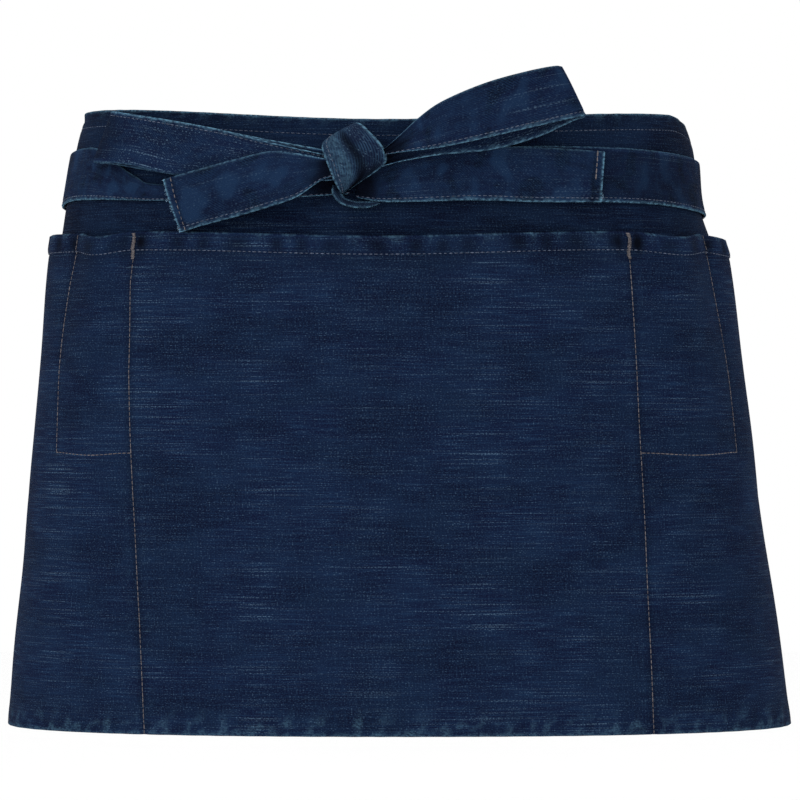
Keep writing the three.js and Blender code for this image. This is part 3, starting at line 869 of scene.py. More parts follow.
class Strip:
    """A strip of folded tie cloth between two edges, with its stitched edges and its gathers.

    Gathers are given by their height and by the share of the strip that they reach from the knot. Sewn says
    whether the lower and the upper edge are stitched, and ends which ends lie at the knot. Turned is a share
    of painted shade where a loop turns round; dark darkens the whole strip by a share towards the deep tint.
    """

    def __init__(self, edges, seed, gathers, sewn=(True, False), ends=(0, 1), turned=0.0, dark=0.0):
        self.edges = edges
        self.seed = seed
        self.gathers = gathers
        self.sewn = sewn
        self.ends = ends
        self.turned = turned
        self.dark = dark
        middle = sum(spline(edge, np.linspace(0, 1, 400)) for edge in edges) / 2
        self.length = float(np.linalg.norm(np.diff(middle, axis=0), axis=1).sum())
        # 1 where the strip runs to the right of the front, -1 where it runs to the left
        near = spline(edges[0], np.array([FACING_AT, FACING_AT + 0.01]))
        self.reading = float(np.sign(near[1, 0] - near[0, 0]))
        self.facing = 1.0
        self.facing = float(np.sign(self.frame(np.array([FACING_AT]))[2][0, 1]))

    def frame(self, t):
        """The lower edge, the way across to the upper edge and the way out of the face, all flat."""
        step = 1e-4
        upper, lower = (spline(edge, t) for edge in self.edges)
        ahead = [unit(spline(edge, t + step) - spline(edge, t - step)) for edge in self.edges]
        across = upper - lower
        return lower, across, unit(np.cross(across, sum(ahead))) * self.facing

    def relief(self, t, v):
        """How far the face stands proud of a flat strip, and its wear and painted shade."""
        bow, sewing = settings("apron_bow"), settings("apron_sewing")
        u, across = t * self.length, v * bow.width
        low, high = across, bow.width - across
        rim = np.minimum(low, high)
        height = fade = 0 * (u + v)
        for sewn, away in zip(self.sewn, (low, high)):
            height = height - rounding(away, RIM_REACH, RIM_DROP * bow.thick)
            fade = fade + band("sewn_edge_wear" if sewn else "folded_edge_wear", away)
            if sewn:
                ropes = roping(u, away, *TIE_PUCKERS, self.seed + 5)
                height = height - MM * band("tie_groove", away - sewing.inset)
                height = height + MM * ropes * band("tie_puckers", away)
                fade = fade + (0.5 + ropes) * band("tie_pucker_wear", away)
        if self.ends == (0,):
            to_end = self.length - u
            height = height + END_THICKER * (1 - smoothstep(to_end, *END_FALL))
            height = height - MM * band("end_groove", to_end)
            fade = fade + band("end_wear", to_end) - band("end_shade", to_end)
        from_knot = np.min([np.abs(t - end) for end in self.ends], axis=0)
        away, to_turn = from_knot * self.length, np.abs(t - 0.5) * self.length
        fade = fade + (1 - smoothstep(away, *EDGE_PULL)) * band("pulled_edge_wear", rim)
        # Painted shade beside the knot and where a loop turns, and the strip's overall darkening
        shade = KNOT_SHADE_STRENGTH * (1 - smoothstep(away, *KNOT_SHADE)) + self.dark
        shade = shade + self.turned * (1 - smoothstep(to_turn, *TURN_SHADE))
        fade = fade - shade * smoothstep(rim, *SHADE_START)
        gather_height, gather_reach = self.gathers
        folds = np.sin(math.tau * (2.4 * v + 0.5 * np.sin(3 * t)) + self.seed)
        height = height + gather_height * np.clip(1 - from_knot / gather_reach, 0, 1) ** 1.5 * folds
        wave_length, wave_height = STRIP_WAVES
        return height + wave_height * waves(u, across, wave_length, self.seed + 9), fade

    def points(self, t, v, proud):
        """Points on the worn form, proud of the strip's middle along its face."""
        lower, across, out = (a.reshape(*t.shape, 3) for a in self.frame(t.ravel()))
        flat = lower + across * v[..., None] + out * proud[..., None]
        return on_form(flat[..., 0], flat[..., 1], flat[..., 2])

    def grids(self, steps):
        """The outer and inner faces, the cloth map, and the wear and painted shade."""
        bow = settings("apron_bow")
        rows = np.linspace(0, 1, steps + 1)
        if self.ends == (0,):
            hem = 1 - END_HEM / self.length
            rows = np.concatenate([np.linspace(0, hem, steps), np.linspace(hem, 1, END_STEPS)[1:]])
        t, v = np.meshgrid(rows, ACROSS, indexing="ij")
        height, fade = self.relief(t, v)
        drop = rounding(np.minimum(v, 1 - v) * bow.width, RIM_REACH, RIM_DROP * bow.thick)
        outer = self.points(t, v, bow.thick / 2 + height)
        inner = self.points(t, v, -bow.thick / 2 + height + 2 * drop)
        flat = np.stack([self.reading * t * self.length, v * bow.width], 2)
        return outer, inner, flat, fade

    def sewn_line(self, t, v):
        """Points of a stitch row on the strip's face."""
        height, _ = self.relief(t, v)
        return self.points(t, v, settings("apron_bow").thick / 2 + height + STITCH_PROUD)

    def row(self, v):
        """A line for stitches along the strip."""
        t = np.linspace(0, 1, max(4, int(self.length / (1.5 * MM))))
        return self.sewn_line(t, np.full_like(t, v))

    def cross_row(self, from_end, start, end):
        """A line for stitches across the strip, so far from its end."""
        v = np.linspace(start, end, 20)
        return self.sewn_line(np.full_like(v, 1 - from_end / self.length), v)


def strips():
    """Every strip of the ties and the bow by name."""
    bow = settings("apron_bow")
    left_loop = bow_edges(LEFT_LOOP, -1, bow.left_loop, bow.left_puff)
    right_loop = bow_edges(RIGHT_LOOP, 1, bow.right_loop, bow.right_puff)
    left_tail = bow_edges(LEFT_TAIL, -1, bow.left_tail, bow.left_puff)
    right_tail = bow_edges(RIGHT_TAIL, 1, bow.right_tail, 0)
    return {
        "left_tie": Strip(tie_edges(TIE_LEFT, -1), 1, (0.3 * MM, 0.05), ends=(1,)),
        "right_tie": Strip(tie_edges(TIE_RIGHT, 1), 2, (0.3 * MM, 0.05), ends=(1,), dark=0.3),
        "left_loop": Strip(left_loop, 3, (1.1 * MM, 0.22), sewn=(False, True), turned=0.55),
        "right_loop": Strip(right_loop, 4, (1.1 * MM, 0.2)),
        "left_tail": Strip(left_tail, 5, (1.1 * MM, 0.4), ends=(0,)),
        "right_tail": Strip(right_tail, 6, (0.8 * MM, 0.3), ends=(0,)),
    }


# Each strip's node of the frame, slot, steps of its mesh, outer and inner cloth, what it rests on and how it
# is held
FACE_OUT = (TIE_DENIM, REVERSE_DENIM)
REVERSE_OUT = (REVERSE_DENIM, TIE_DENIM)
STRIPS = {
    "left_tie": ("tie_left", "tie_denim", 270, FACE_OUT, "main_cloth", "stretched"),
    "right_tie": ("tie_right", "tie_denim", 270, FACE_OUT, "main_cloth", "stretched"),
    "left_loop": ("bow_loop_left", "tie_reverse", 190, REVERSE_OUT, "left_tie", "folded"),
    "right_loop": ("bow_loop_right", "tie_denim", 170, FACE_OUT, "right_tie", "folded"),
    "left_tail": ("bow_tail_left", "tie_denim", 90, FACE_OUT, "left_loop", "hung"),
    "right_tail": ("bow_tail_right", "tie_denim", 110, FACE_OUT, "right_tie", "laid"),
}


def make_strips(*names):
    """Makes strips as sheets of cloth, each in place of its node of the frame."""
    for name in names:
        node, slot, steps, cloths, rests_on, held = STRIPS[name]
        strip = strips()[name]
        outer, inner, flat, fade = strip.grids(steps)
        seen = [bpy.data.materials[cloth] for cloth in cloths]
        piece = new_piece(name, shell_mesh(name, outer, inner, flat, fade, seen), slot, node)
        width = settings("apron_bow").width


class APRON_OT_ties(bpy.types.Operator):
    """Makes the two long ties, from their roots at the back to the knot."""

    bl_idname = "apron.ties"
    bl_label = "Ties"

    def execute(self, context):
        make_strips("left_tie", "right_tie")
        return {"FINISHED"}


class APRON_OT_loops(bpy.types.Operator):
    """Makes the bow's two loops; the left one shows the cloth's reverse."""

    bl_idname = "apron.loops"
    bl_label = "Loops"

    def execute(self, context):
        make_strips("left_loop", "right_loop")
        return {"FINISHED"}


class APRON_OT_tails(bpy.types.Operator):
    """Makes the bow's two tails."""

    bl_idname = "apron.tails"
    bl_label = "Tails"

    def execute(self, context):
        make_strips("left_tail", "right_tail")
        return {"FINISHED"}


# The knot: a broad band of cloth that comes over the top and narrows as it tucks in below, and a roll under
# it. Each row gives both edges of a section in millimetres.
BAND = table(
    "left_arc left_lift left_height right_arc right_lift right_height",
    [
        [-27.0, 4, 23.8, -21.5, 3, 27.0],
        [-31.2, 10, 21.2, -15.0, 9, 29.9],
        [-33.9, 16, 17.2, -9.4, 14.5, 25.4],
        [-32.2, 20, 11.0, -3.2, 18, 18.6],
        [-29.4, 21.5, 4.6, 0.5, 19, 12.3],
        [-26.6, 20.5, -1.6, 0.7, 17.5, 6.8],
        [-24.2, 17.5, -6.4, -4.6, 13, 1.9],
        [-22.8, 11, -9.2, -12.2, 9.5, -3.6],
        [-22.2, 5, -10.4, -18.6, 5, -8.2],
    ],
)
ROLL = table(
    "low_arc low_lift low_height high_arc high_lift high_height",
    [
        [-27.6, 4.5, -5.0, -23.2, 4.5, -5.5],
        [-27.4, 7.5, -9.6, -22.8, 7.5, -9.4],
        [-24.6, 8.5, -14.2, -20.8, 8.5, -12.6],
        [-19.0, 8.6, -17.1, -16.2, 8.6, -14.4],
        [-12.0, 8.4, -18.0, -11.2, 8.4, -14.8],
        [-6.5, 7.6, -17.4, -6.4, 7.6, -14.8],
        [-1.5, 6.2, -15.6, -2.0, 6.2, -14.6],
    ],
)
# Steps of each mesh along and across
BAND_STEPS = (60, 46)
ROLL_STEPS = (44, 10)
BAND_CROWN = 4.5 * MM
BAND_CREASE = 0.6 * MM
BAND_FINE_CREASE = 0.3 * MM
BAND_DEEP_CREASE = 3 * MM
BAND_RIM = (1.2 * MM, 2.2 * MM)
BAND_THICK = 9 * MM
ROLL_CROWN = 1.3 * MM
ROLL_THICK = 2.5 * MM
# The knot's back keeps so far off the form
KNOT_BACK = 4 * MM
# How much cloth the maps of the band and the roll show along and across
BAND_MAP = (55 * MM, 9 * MM)
ROLL_MAP = (40 * MM, 4.5 * MM)


def section_grid(rows, first, second, steps):
    """A flat grid of points between two edges, and the ways along and across it."""
    along, across = steps
    t, v = np.linspace(0, 1, along + 1), np.linspace(0, 1, across + 1)[None, :]
    near, far = (
        spline(np.stack([rows[f"{edge}_{key}"] for key in ("arc", "lift", "height")], 1) * MM, t)[:, None]
        for edge in (first, second)
    )
    return lerp(near, far, v[..., None]), t[:, None], v


def crease_at(t, v):
    """The deep crease between the knot's two lobes, from 0 to 1."""
    return bell(v, 0.44 + 0.2 * t, 0.07 + 0.05 * t) * smoothstep(t, 0.02, 0.3)


def band_grid():
    """The face of the knot's band, flat, and the ways along and across it."""
    face, t, v = section_grid(BAND, "left", "right", BAND_STEPS)
    crown = BAND_CROWN * np.sin(math.pi * np.minimum(v * 1.15, 1)) ** 0.8 * (1 - 0.3 * t)
    creases = BAND_CREASE * np.sin(math.tau * (2.6 * v - 0.2) + 0.9 * np.sin(2.2 * t))
    creases = creases + BAND_FINE_CREASE * np.sin(math.tau * (6.3 * v + 0.3 * t) + 2)
    crown = crown + creases * (0.3 + smoothstep(t, 0.1, 1)) * np.sin(math.pi * v) ** 0.6
    face[..., 1] += crown - BAND_DEEP_CREASE * crease_at(t, v)
    return face, t, v


def roll_grid():
    """The face of the roll under the knot, flat, with its pale edges, its darker middle and its cloth map."""
    face, t, v = section_grid(ROLL, "low", "high", ROLL_STEPS)
    face[..., 1] += ROLL_CROWN * np.sin(math.pi * v)
    fade = 0.75 * bell(v, 0, 0.14) + 0.5 * bell(v, 0.95, 0.12) - 0.6 * bell(v, 0.55, 0.26)
    flat = np.stack(np.broadcast_arrays(t * ROLL_MAP[0], v * ROLL_MAP[1]), 2)
    return face, fade * np.ones_like(t), flat


def solid_mesh(name, face, depth, fade, flat, materials):
    """A closed mesh of a face on the worn form, backed at a depth behind it."""
    inner = face.copy()
    inner[..., 1] = np.maximum(face[..., 1] - depth, KNOT_BACK)
    sides = [on_form(side[..., 0], side[..., 1], side[..., 2]) for side in (face, inner)]
    return shell_mesh(name, *sides, flat, fade, materials)


def joined_mesh(name, meshes):
    """One mesh of several that share their materials."""
    objects = [bpy.data.objects.new(mesh.name, mesh) for mesh in meshes]
    for one in objects:
        bpy.context.scene.collection.objects.link(one)
    with bpy.context.temp_override(
        object=objects[0], active_object=objects[0], selected_editable_objects=objects
    ):
        bpy.ops.object.join()
    mesh = objects[0].data
    mesh.name = name
    bpy.data.objects.remove(objects[0])
    return mesh


class APRON_OT_knot(bpy.types.Operator):
    """Makes the knot and the roll of cloth under it."""

    bl_idname = "apron.knot"
    bl_label = "Knot"

    def execute(self, context):
        bow = settings("apron_bow")
        face, t, v = band_grid()
        edge = np.minimum(v, 1 - v) * bow.width
        face[..., 1] -= rounding(edge, *BAND_RIM)
        # Painted shade in the crease between the lobes and over the lower right beside the cavity under the
        # knot; a lighter band along the left lobe; rims rubbed pale
        low_right = smoothstep(v, 0.5, 0.85) * smoothstep(t, 0.35, 0.8)
        fade = 0.16 * bell(v, 0.28, 0.2) - 0.8 * crease_at(t, v) - 0.8 * low_right
        fade = np.where(edge < 1.5 * MM, band("knot_edge_wear", edge), fade)
        # The map is turned so that the twill runs nearly along the band
        along, over = t * BAND_MAP[0], v * bow.width + t * BAND_MAP[1]
        flat = np.stack(np.broadcast_arrays((over + along) / 2, (over - along) / 2), 2)
        seen = [bpy.data.materials[KNOT_DENIM], bpy.data.materials[TIE_DENIM]]
        band_mesh = solid_mesh("band", face, BAND_THICK, fade, flat, seen)
        face, fade, flat = roll_grid()
        roll_mesh = solid_mesh("roll", face, ROLL_THICK, fade, flat, seen)
        knot_mesh = joined_mesh("knot", [band_mesh, roll_mesh])
        piece = new_piece("knot", knot_mesh, "tie_denim", "bow_knot")
        return {"FINISHED"}


# Materials


def add_node(tree, kind, inputs=None, **fields):
    """Adds a node, sets its fields and its inputs, and links the inputs given as sockets."""
    node = tree.nodes.new(kind)
    for key, value in fields.items():
        setattr(node, key, value)
    for key, value in (inputs or {}).items():
        if isinstance(value, bpy.types.NodeSocket):
            tree.links.new(value, node.inputs[key])
        else:
            node.inputs[key].default_value = value
    return node


def new_material(name):
    """An empty material with its output's tree."""
    material = bpy.data.materials.new(name)
    material.use_nodes = True
    material.node_tree.nodes.clear()
    return material.node_tree


# The denim's patterns: the length of a mark along the weft and its thickness, in millimetres, and the noise's
# detail. Real threads are 0.5 mm apart, too fine to show from three metres, so the finest marks are drawn
# about 1 mm thick.
PATTERNS = {
    "weft": (22, 0.7, 1.0),
    "slub": (64, 0.65, 0.0),
    "patch": (70, 30, 2.0),
    "fleck": (0.95, 0.65, 0.0),
    "warp": (0.9, 14, 1.0),
    "cloud": (40, 24, 3.0),
    "blotch": (15, 20, 1.0),
    "mottle": (7, 4, 3.0),
    "rub": (1.9, 1.2, 1.0),
}
# Each pattern lies elsewhere in its noise
PATTERN_SHIFT = (13.7, 7.3)
# The marks that a pattern makes: its noise where the mark starts and where it is full, and the strength there
MARKS = {
    "deep patch": ("patch", 0.35, 0.65, 0.4, 0),
    "washed patch": ("cloud", 0.36, 0.68, 0, 0.24),
    "pale blotch": ("blotch", 0.52, 0.72, 0, 1),
    "dark blotch": ("blotch", 0.3, 0.45, 1, 0),
    "streaky patch": ("patch", 0.42, 0.68, 0, 1),
    "weft line": ("weft", 0.42, 0.72, 0, 1),
    "warp line": ("warp", 0.45, 0.75, 0, 1),
    "grain": ("fleck", 0.35, 0.7, 0, 1),
    "slub line": ("slub", 0.72, 0.8, 0, 1),
    "slub grain": ("fleck", 0.3, 0.7, 0, 1),
    "bright fleck": ("fleck", 0.66, 0.86, 0, 1),
    "broken": ("mottle", 0.35, 0.65, 0.2, 1),
    "rubbing": ("rub", 0.3, 0.68, 0.15, 1),
    "roughness": ("mottle", 0.3, 0.7, 0.84, 0.95),
}
# From one twill ridge to the next, drawn coarser than the real 0.9 mm so that it shows
TWILL_PITCH = 1.4 * MM
# Marks worked out of other marks, in order: the operation and what it takes
WORKED = {
    "patchy": ("MULTIPLY_ADD", "streaky patch", 0.5, 0.5),
    "streak": ("MULTIPLY", "weft line", "patchy"),
    "slub patch": ("MAXIMUM", "streaky patch", 0.3),
    "smooth slub": ("MULTIPLY", "slub line", "slub patch"),
    "grainy slub": ("MULTIPLY", "smooth slub", "slub grain"),
    "on weft": ("MULTIPLY_ADD", "weft line", 0.8, 0.2),
    "weft fleck": ("MULTIPLY", "bright fleck", "on weft"),
    "slant": ("ADD", "along", "across"),
    "ridge turn": ("MULTIPLY", "slant", math.tau / TWILL_PITCH),
    "ridge wave": ("SINE", "ridge turn"),
    "ridge": ("MULTIPLY_ADD", "ridge wave", 0.5, 0.5),
    "twill": ("MULTIPLY", "ridge", "broken"),
    "wear": ("MAXIMUM", "fade", 0),
    "rubbed": ("MULTIPLY", "wear", "rubbing"),
    # Below nought the attribute darkens the cloth, mostly as painted shade
    "darkening": ("MINIMUM", "fade", 0),
    "shade": ("MULTIPLY", "darkening", -1),
}


def denim(name, tints, flecks, streaks, twill, blotches):
    """One denim: dyed warp over undyed weft, streaked by uneven thread and rubbed pale at edges."""
    tree = new_material(name)
    coordinates = add_node(tree, "ShaderNodeUVMap", uv_map=CLOTH_MAP).outputs["UV"]
    apart = add_node(tree, "ShaderNodeSeparateXYZ", {0: coordinates}).outputs
    fade = add_node(tree, "ShaderNodeAttribute", attribute_name=WEAR_AND_SHADE).outputs["Fac"]
    made = {"along": apart[0], "across": apart[1], "fade": fade}
    for index, (pattern, (length, thick, detail)) in enumerate(PATTERNS.items()):
        place = (PATTERN_SHIFT[0] * index, PATTERN_SHIFT[1] * index, 0)
        inputs = {"Vector": coordinates, "Location": place, "Scale": (1000 / length, 1000 / thick, 1)}
        placed = add_node(tree, "ShaderNodeMapping", inputs).outputs[0]
        inputs = {"Vector": placed, "Scale": 1, "Detail": detail, "Roughness": 0.55}
        noise = add_node(tree, "ShaderNodeTexNoise", inputs, noise_dimensions="2D")
        made[pattern] = noise.outputs["Fac"]
    for mark, (pattern, start, full, at_start, at_full) in MARKS.items():
        inputs = {"Value": made[pattern], 1: start, 2: full, 3: at_start, 4: at_full}
        ranged = add_node(tree, "ShaderNodeMapRange", inputs, interpolation_type="SMOOTHSTEP")
        made[mark] = ranged.outputs[0]
    for mark, (operation, *parts) in WORKED.items():
        inputs = {index: made.get(part, part) for index, part in enumerate(parts)}
        made[mark] = add_node(tree, "ShaderNodeMath", inputs, operation=operation).outputs[0]
    # From the dye up: a mark, its strength and the tint that it gives
    layers = (
        ("deep patch", 1, "deep"),
        ("washed patch", 1, "faded"),
        ("pale blotch", blotches, "faded"),
        ("dark blotch", blotches, "deep"),
        ("streak", streaks, "faded"),
        ("warp line", 0.25 * streaks, "faded"),
        ("grain", 0.5 * streaks, "faded"),
        ("weft fleck", flecks, "weft"),
        ("grainy slub", 1.15 * flecks, "weft"),
        ("twill", twill, "faded"),
        ("rubbed", 1, "worn"),
        # Painted shade, towards the deep tint
        ("shade", 1, "deep"),
    )
    base = [*tints["dye"], 1]
    for mark, strength, tint in layers:
        inputs = {0: made[mark], 1: strength}
        share = add_node(tree, "ShaderNodeMath", inputs, operation="MULTIPLY").outputs[0]
        inputs = {0: share, 6: base, 7: [*tints[tint], 1]}
        mix = add_node(tree, "ShaderNodeMix", inputs, data_type="RGBA", clamp_factor=True)
        base = mix.outputs[2]
    relief = 0.0
    for mark, strength in (("weft line", 0.5), ("warp line", 0.25), ("fleck", 0.9), ("ridge", twill)):
        inputs = {0: made[mark], 1: strength, 2: relief}
        relief = add_node(tree, "ShaderNodeMath", inputs, operation="MULTIPLY_ADD").outputs[0]
    inputs = {"Strength": 0.45, "Distance": 0.35 * MM, "Height": relief}
    inputs = {
        "Base Color": base,
        "Roughness": made["roughness"],
        "Specular IOR Level": 0.02,
        "Normal": add_node(tree, "ShaderNodeBump", inputs).outputs[0],
    }
    shader = add_node(tree, "ShaderNodeBsdfPrincipled", inputs)
    add_node(tree, "ShaderNodeOutputMaterial", {"Surface": shader.outputs[0]})


def thread(name, dye, hollow_shade):
    """Twisted cotton thread: matt, with painted shade in the hollows between its plies, where it is only a
    share as light as its dye.
    """
    tree = new_material(name)
    place = add_node(tree, "ShaderNodeTexCoord").outputs["Object"]
    # Plies about 1 mm long
    inputs = {"Vector": place, "Scale": 1100, "Detail": 1.0}
    plies = add_node(tree, "ShaderNodeTexNoise", inputs).outputs["Fac"]
    share = add_node(tree, "ShaderNodeMapRange", {"Value": plies, 1: 0.35, 2: 0.65}).outputs[0]
    inputs = {0: share, 6: [*(hollow_shade * c for c in dye), 1], 7: [*dye, 1]}
    tint = add_node(tree, "ShaderNodeMix", inputs, data_type="RGBA").outputs[2]
    bump = add_node(tree, "ShaderNodeBump", {"Strength": 0.3, "Distance": 0.1 * MM, "Height": plies})
    inputs = {"Base Color": tint, "Roughness": 0.85, "Specular IOR Level": 0.1, "Normal": bump.outputs[0]}
    shader = add_node(tree, "ShaderNodeBsdfPrincipled", inputs)
    add_node(tree, "ShaderNodeOutputMaterial", {"Surface": shader.outputs[0]})


def paper(name, tone):
    """Matt paper: pale with the faintest tooth."""
    tree = new_material(name)
    place = add_node(tree, "ShaderNodeTexCoord").outputs["Object"]
    tooth = add_node(tree, "ShaderNodeTexNoise", {"Vector": place, "Scale": 60, "Detail": 3.0})
    inputs = {"Strength": 0.05, "Distance": MM, "Height": tooth.outputs["Fac"]}
    bump = add_node(tree, "ShaderNodeBump", inputs)
    inputs = {"Base Color": [*tone, 1], "Roughness": 0.9, "Normal": bump.outputs[0]}
    shader = add_node(tree, "ShaderNodeBsdfPrincipled", inputs)
    add_node(tree, "ShaderNodeOutputMaterial", {"Surface": shader.outputs[0]})


# Each denim: how light its dye is, how far its faded threads go towards rubbed ones, and how strongly flecks,
# streaks, twill and blotches show
DENIMS = {
    # Woven slub denim for the pockets: long faint streaks of uneven weft, the twill hardly to be seen
    SLUB_DENIM: (1, 0, 0.2, 0.66, 0.04, 0),
    # The same cloth darkened to nearly black blue, with few marks: painted shade over the main cloth above
    # the pocket
    SHADED_SLUB_DENIM: (0.52, 0, 0.1, 0.4, 0.05, 0),
    # Woven twill for the ties, washed: a diagonal grain, uneven blotches and pale edges
    TIE_DENIM: (1, 0, 0.16, 0.32, 0.6, 0.7),
    # Its reverse: more undyed weft, so a little lighter and speckled
    REVERSE_DENIM: (1.15, 0, 0.4, 0.3, 0.8, 0),
    # The twill drawn tight in the knot: rubbed paler on its grain
    KNOT_DENIM: (1, 0.12, 0.35, 0.1, 0.75, 0),
}


class APRON_OT_finishes(bpy.types.Operator):
    """Makes the denims, threads and paper."""

    bl_idname = "apron.finishes"
    bl_label = "Finishes"

    def execute(self, context):
        tints = settings("apron_colours")
        for name, (lightness, drawn, *strengths) in DENIMS.items():
            chosen = {key: getattr(tints, key) for key in ("deep", "worn", "weft")}
            chosen["dye"] = [lightness * c for c in tints.indigo]
            chosen["faded"] = [lerp(a, b, drawn) for a, b in zip(tints.faded, tints.worn)]
            denim(name, chosen, *strengths)
        thread(TAN_THREAD, tints.tan_thread, 0.45)
        thread(GREY_THREAD, tints.grey_thread, 0.35)
        # Untwisted weft, loose and undyed
        thread(RAW_COTTON, tints.weft, 0.5)
        paper(PAPER, tints.paper)
        return {"FINISHED"}


# Stitches


def lines_tree(name, *sizes):
    """The start of a tree: lines, named sizes and a material go in, and one geometry comes out."""
    tree = bpy.data.node_groups.new(name, "GeometryNodeTree")
    kinds = {"Lines": "NodeSocketGeometry", **dict.fromkeys(sizes, "NodeSocketFloat")}
    kinds["Material"] = "NodeSocketMaterial"
    for key, kind in kinds.items():
        tree.interface.new_socket(name=key, in_out="INPUT", socket_type=kind)
    tree.interface.new_socket(name="Made", in_out="OUTPUT", socket_type="NodeSocketGeometry")
    given = add_node(tree, "NodeGroupInput").outputs
    lines = add_node(tree, "GeometryNodeMeshToCurve", {"Mesh": given["Lines"]})
    return tree, given, lines.outputs[0]


def end_tree(tree, geometry, material):
    """The end of a tree: plain geometry in one material."""
    real = add_node(tree, "GeometryNodeRealizeInstances", {"Geometry": geometry})
    inputs = {"Geometry": real.outputs[0], "Material": material}
    painted = add_node(tree, "GeometryNodeSetMaterial", inputs)
    add_node(tree, "NodeGroupOutput", {0: painted.outputs[0]})
    return tree


def stitch_tree():
    """A tree that lays stitches along the lines of a mesh."""
    tree, given, lines = lines_tree("Stitches", "Pitch", "Length", "Thread", "Wander")
    inputs = {"Curve": lines, "Length": given["Pitch"]}
    spots = add_node(tree, "GeometryNodeCurveToPoints", inputs, mode="LENGTH").outputs
    bead = add_node(tree, "GeometryNodeMeshUVSphere", {"Segments": 6, "Rings": 5, "Radius": 0.5})
    smooth = add_node(tree, "GeometryNodeSetShadeSmooth", {"Geometry": bead.outputs[0]})
    inputs = {0: given["Thread"], 1: given["Thread"], 2: given["Length"]}
    stretch = add_node(tree, "ShaderNodeCombineXYZ", inputs)
    inputs = {2: 0.8, 3: 1.12, "Seed": SEED}
    varied = add_node(tree, "FunctionNodeRandomValue", inputs, data_type="FLOAT")
    inputs = {0: stretch.outputs[0], 3: varied.outputs[1]}
    scale = add_node(tree, "ShaderNodeVectorMath", inputs, operation="SCALE")
    inputs = {
        "Points": spots["Points"],
        "Instance": smooth.outputs[0],
        "Rotation": spots["Rotation"],
        "Scale": scale.outputs[0],
    }
    laid = add_node(tree, "GeometryNodeInstanceOnPoints", inputs)
    inputs = {0: (-1, -1, -1), 1: (1, 1, 1), "Seed": SEED + 1}
    off = add_node(tree, "FunctionNodeRandomValue", inputs, data_type="FLOAT_VECTOR")
    inputs = {0: off.outputs[0], 3: given["Wander"]}
    shift = add_node(tree, "ShaderNodeVectorMath", inputs, operation="SCALE")
    inputs = {"Instances": laid.outputs[0], "Translation": shift.outputs[0]}
    moved = add_node(tree, "GeometryNodeTranslateInstances", inputs)
    return end_tree(tree, moved.outputs[0], given["Material"])


def lines_mesh(name, lines):
    """A mesh of edges along each line of points."""
    points = np.concatenate(lines)
    edges, first = [], 0
    for line in lines:
        edges += [(first + k, first + k + 1) for k in range(len(line) - 1)]
        first += len(line)
    mesh = bpy.data.meshes.new(name)
    mesh.from_pydata(points.tolist(), edges, [])
    return mesh


def plain_mesh_from(mesh, tree, values):
    """The mesh that a tree makes of another mesh, with nothing live left on it."""
    maker = bpy.data.objects.new(mesh.name, mesh)
    bpy.context.scene.collection.objects.link(maker)
    modifier = maker.modifiers.new("Nodes", "NODES")
    modifier.node_group = tree
    for item in tree.interface.items_tree:
        if item.item_type == "SOCKET" and item.in_out == "INPUT" and item.name in values:
            modifier[item.identifier] = values[item.name]
    graph = bpy.context.evaluated_depsgraph_get()
    made = bpy.data.meshes.new_from_object(maker.evaluated_get(graph))
    bpy.data.objects.remove(maker)
    if not made.polygons:
        raise RuntimeError(f"{mesh.name}: the tree made no faces")
    return made


def sew(name, lines, material, slot, pitch=None, length=None, thick=None, wander=0.06 * MM):
    """Stitches along lines, as one piece."""
    sewing = settings("apron_sewing")
    tree = bpy.data.node_groups.get("Stitches") or stitch_tree()
    values = {
        "Pitch": pitch or sewing.pitch,
        "Length": length or sewing.length,
        "Thread": thick or sewing.thread,
        "Wander": wander,
        "Material": bpy.data.materials[material],
    }
    made = plain_mesh_from(lines_mesh(name, lines), tree, values)
    return new_piece(name, made, slot)


# Stitch rows by their places in zones, and the small pockets' floors by the places that they run between
FRONT_ROW = np.linspace(0.2, 6.8, 900)
SIDE_ROWS = (0.85, 6.15)
POCKET_FLOORS = ((2.02, 2.98), (4.02, 4.98))
# Bartacks: how deep each line of thread lies, how far it reaches over the seam and how far it stands off
TACK_DEPTHS = np.arange(0.5 * MM, 15 * MM, 0.55 * MM)
TACK_REACH = 1 * MM
TACK_PROUD = 0.35 * MM


def pocket_line(place, depth, proud=0.05 * MM):
    """A line for stitches on the pocket cloth."""
    arc, inside, wall, height, _ = pocket_layout(place, depth)
    return on_form(arc, inside + wall + proud, height)


def bartack(place):
    """Short lines across a seam, close together, for the satin stitches of a bartack."""
    random = np.random.default_rng(SEED + place)
    made = []
    for depth in TACK_DEPTHS:
        arc, inside, wall, height, _ = pocket_layout(float(place), np.full(2, depth))
        sway = 0.5 * MM * math.sin(depth / (2.4 * MM)) + random.normal(0, 0.15) * MM
        arc = arc + sway + np.array([0, TACK_REACH * random.uniform(0.5, 1.2)])
        made.append(on_form(arc, inside + wall + TACK_PROUD, height))
    return made


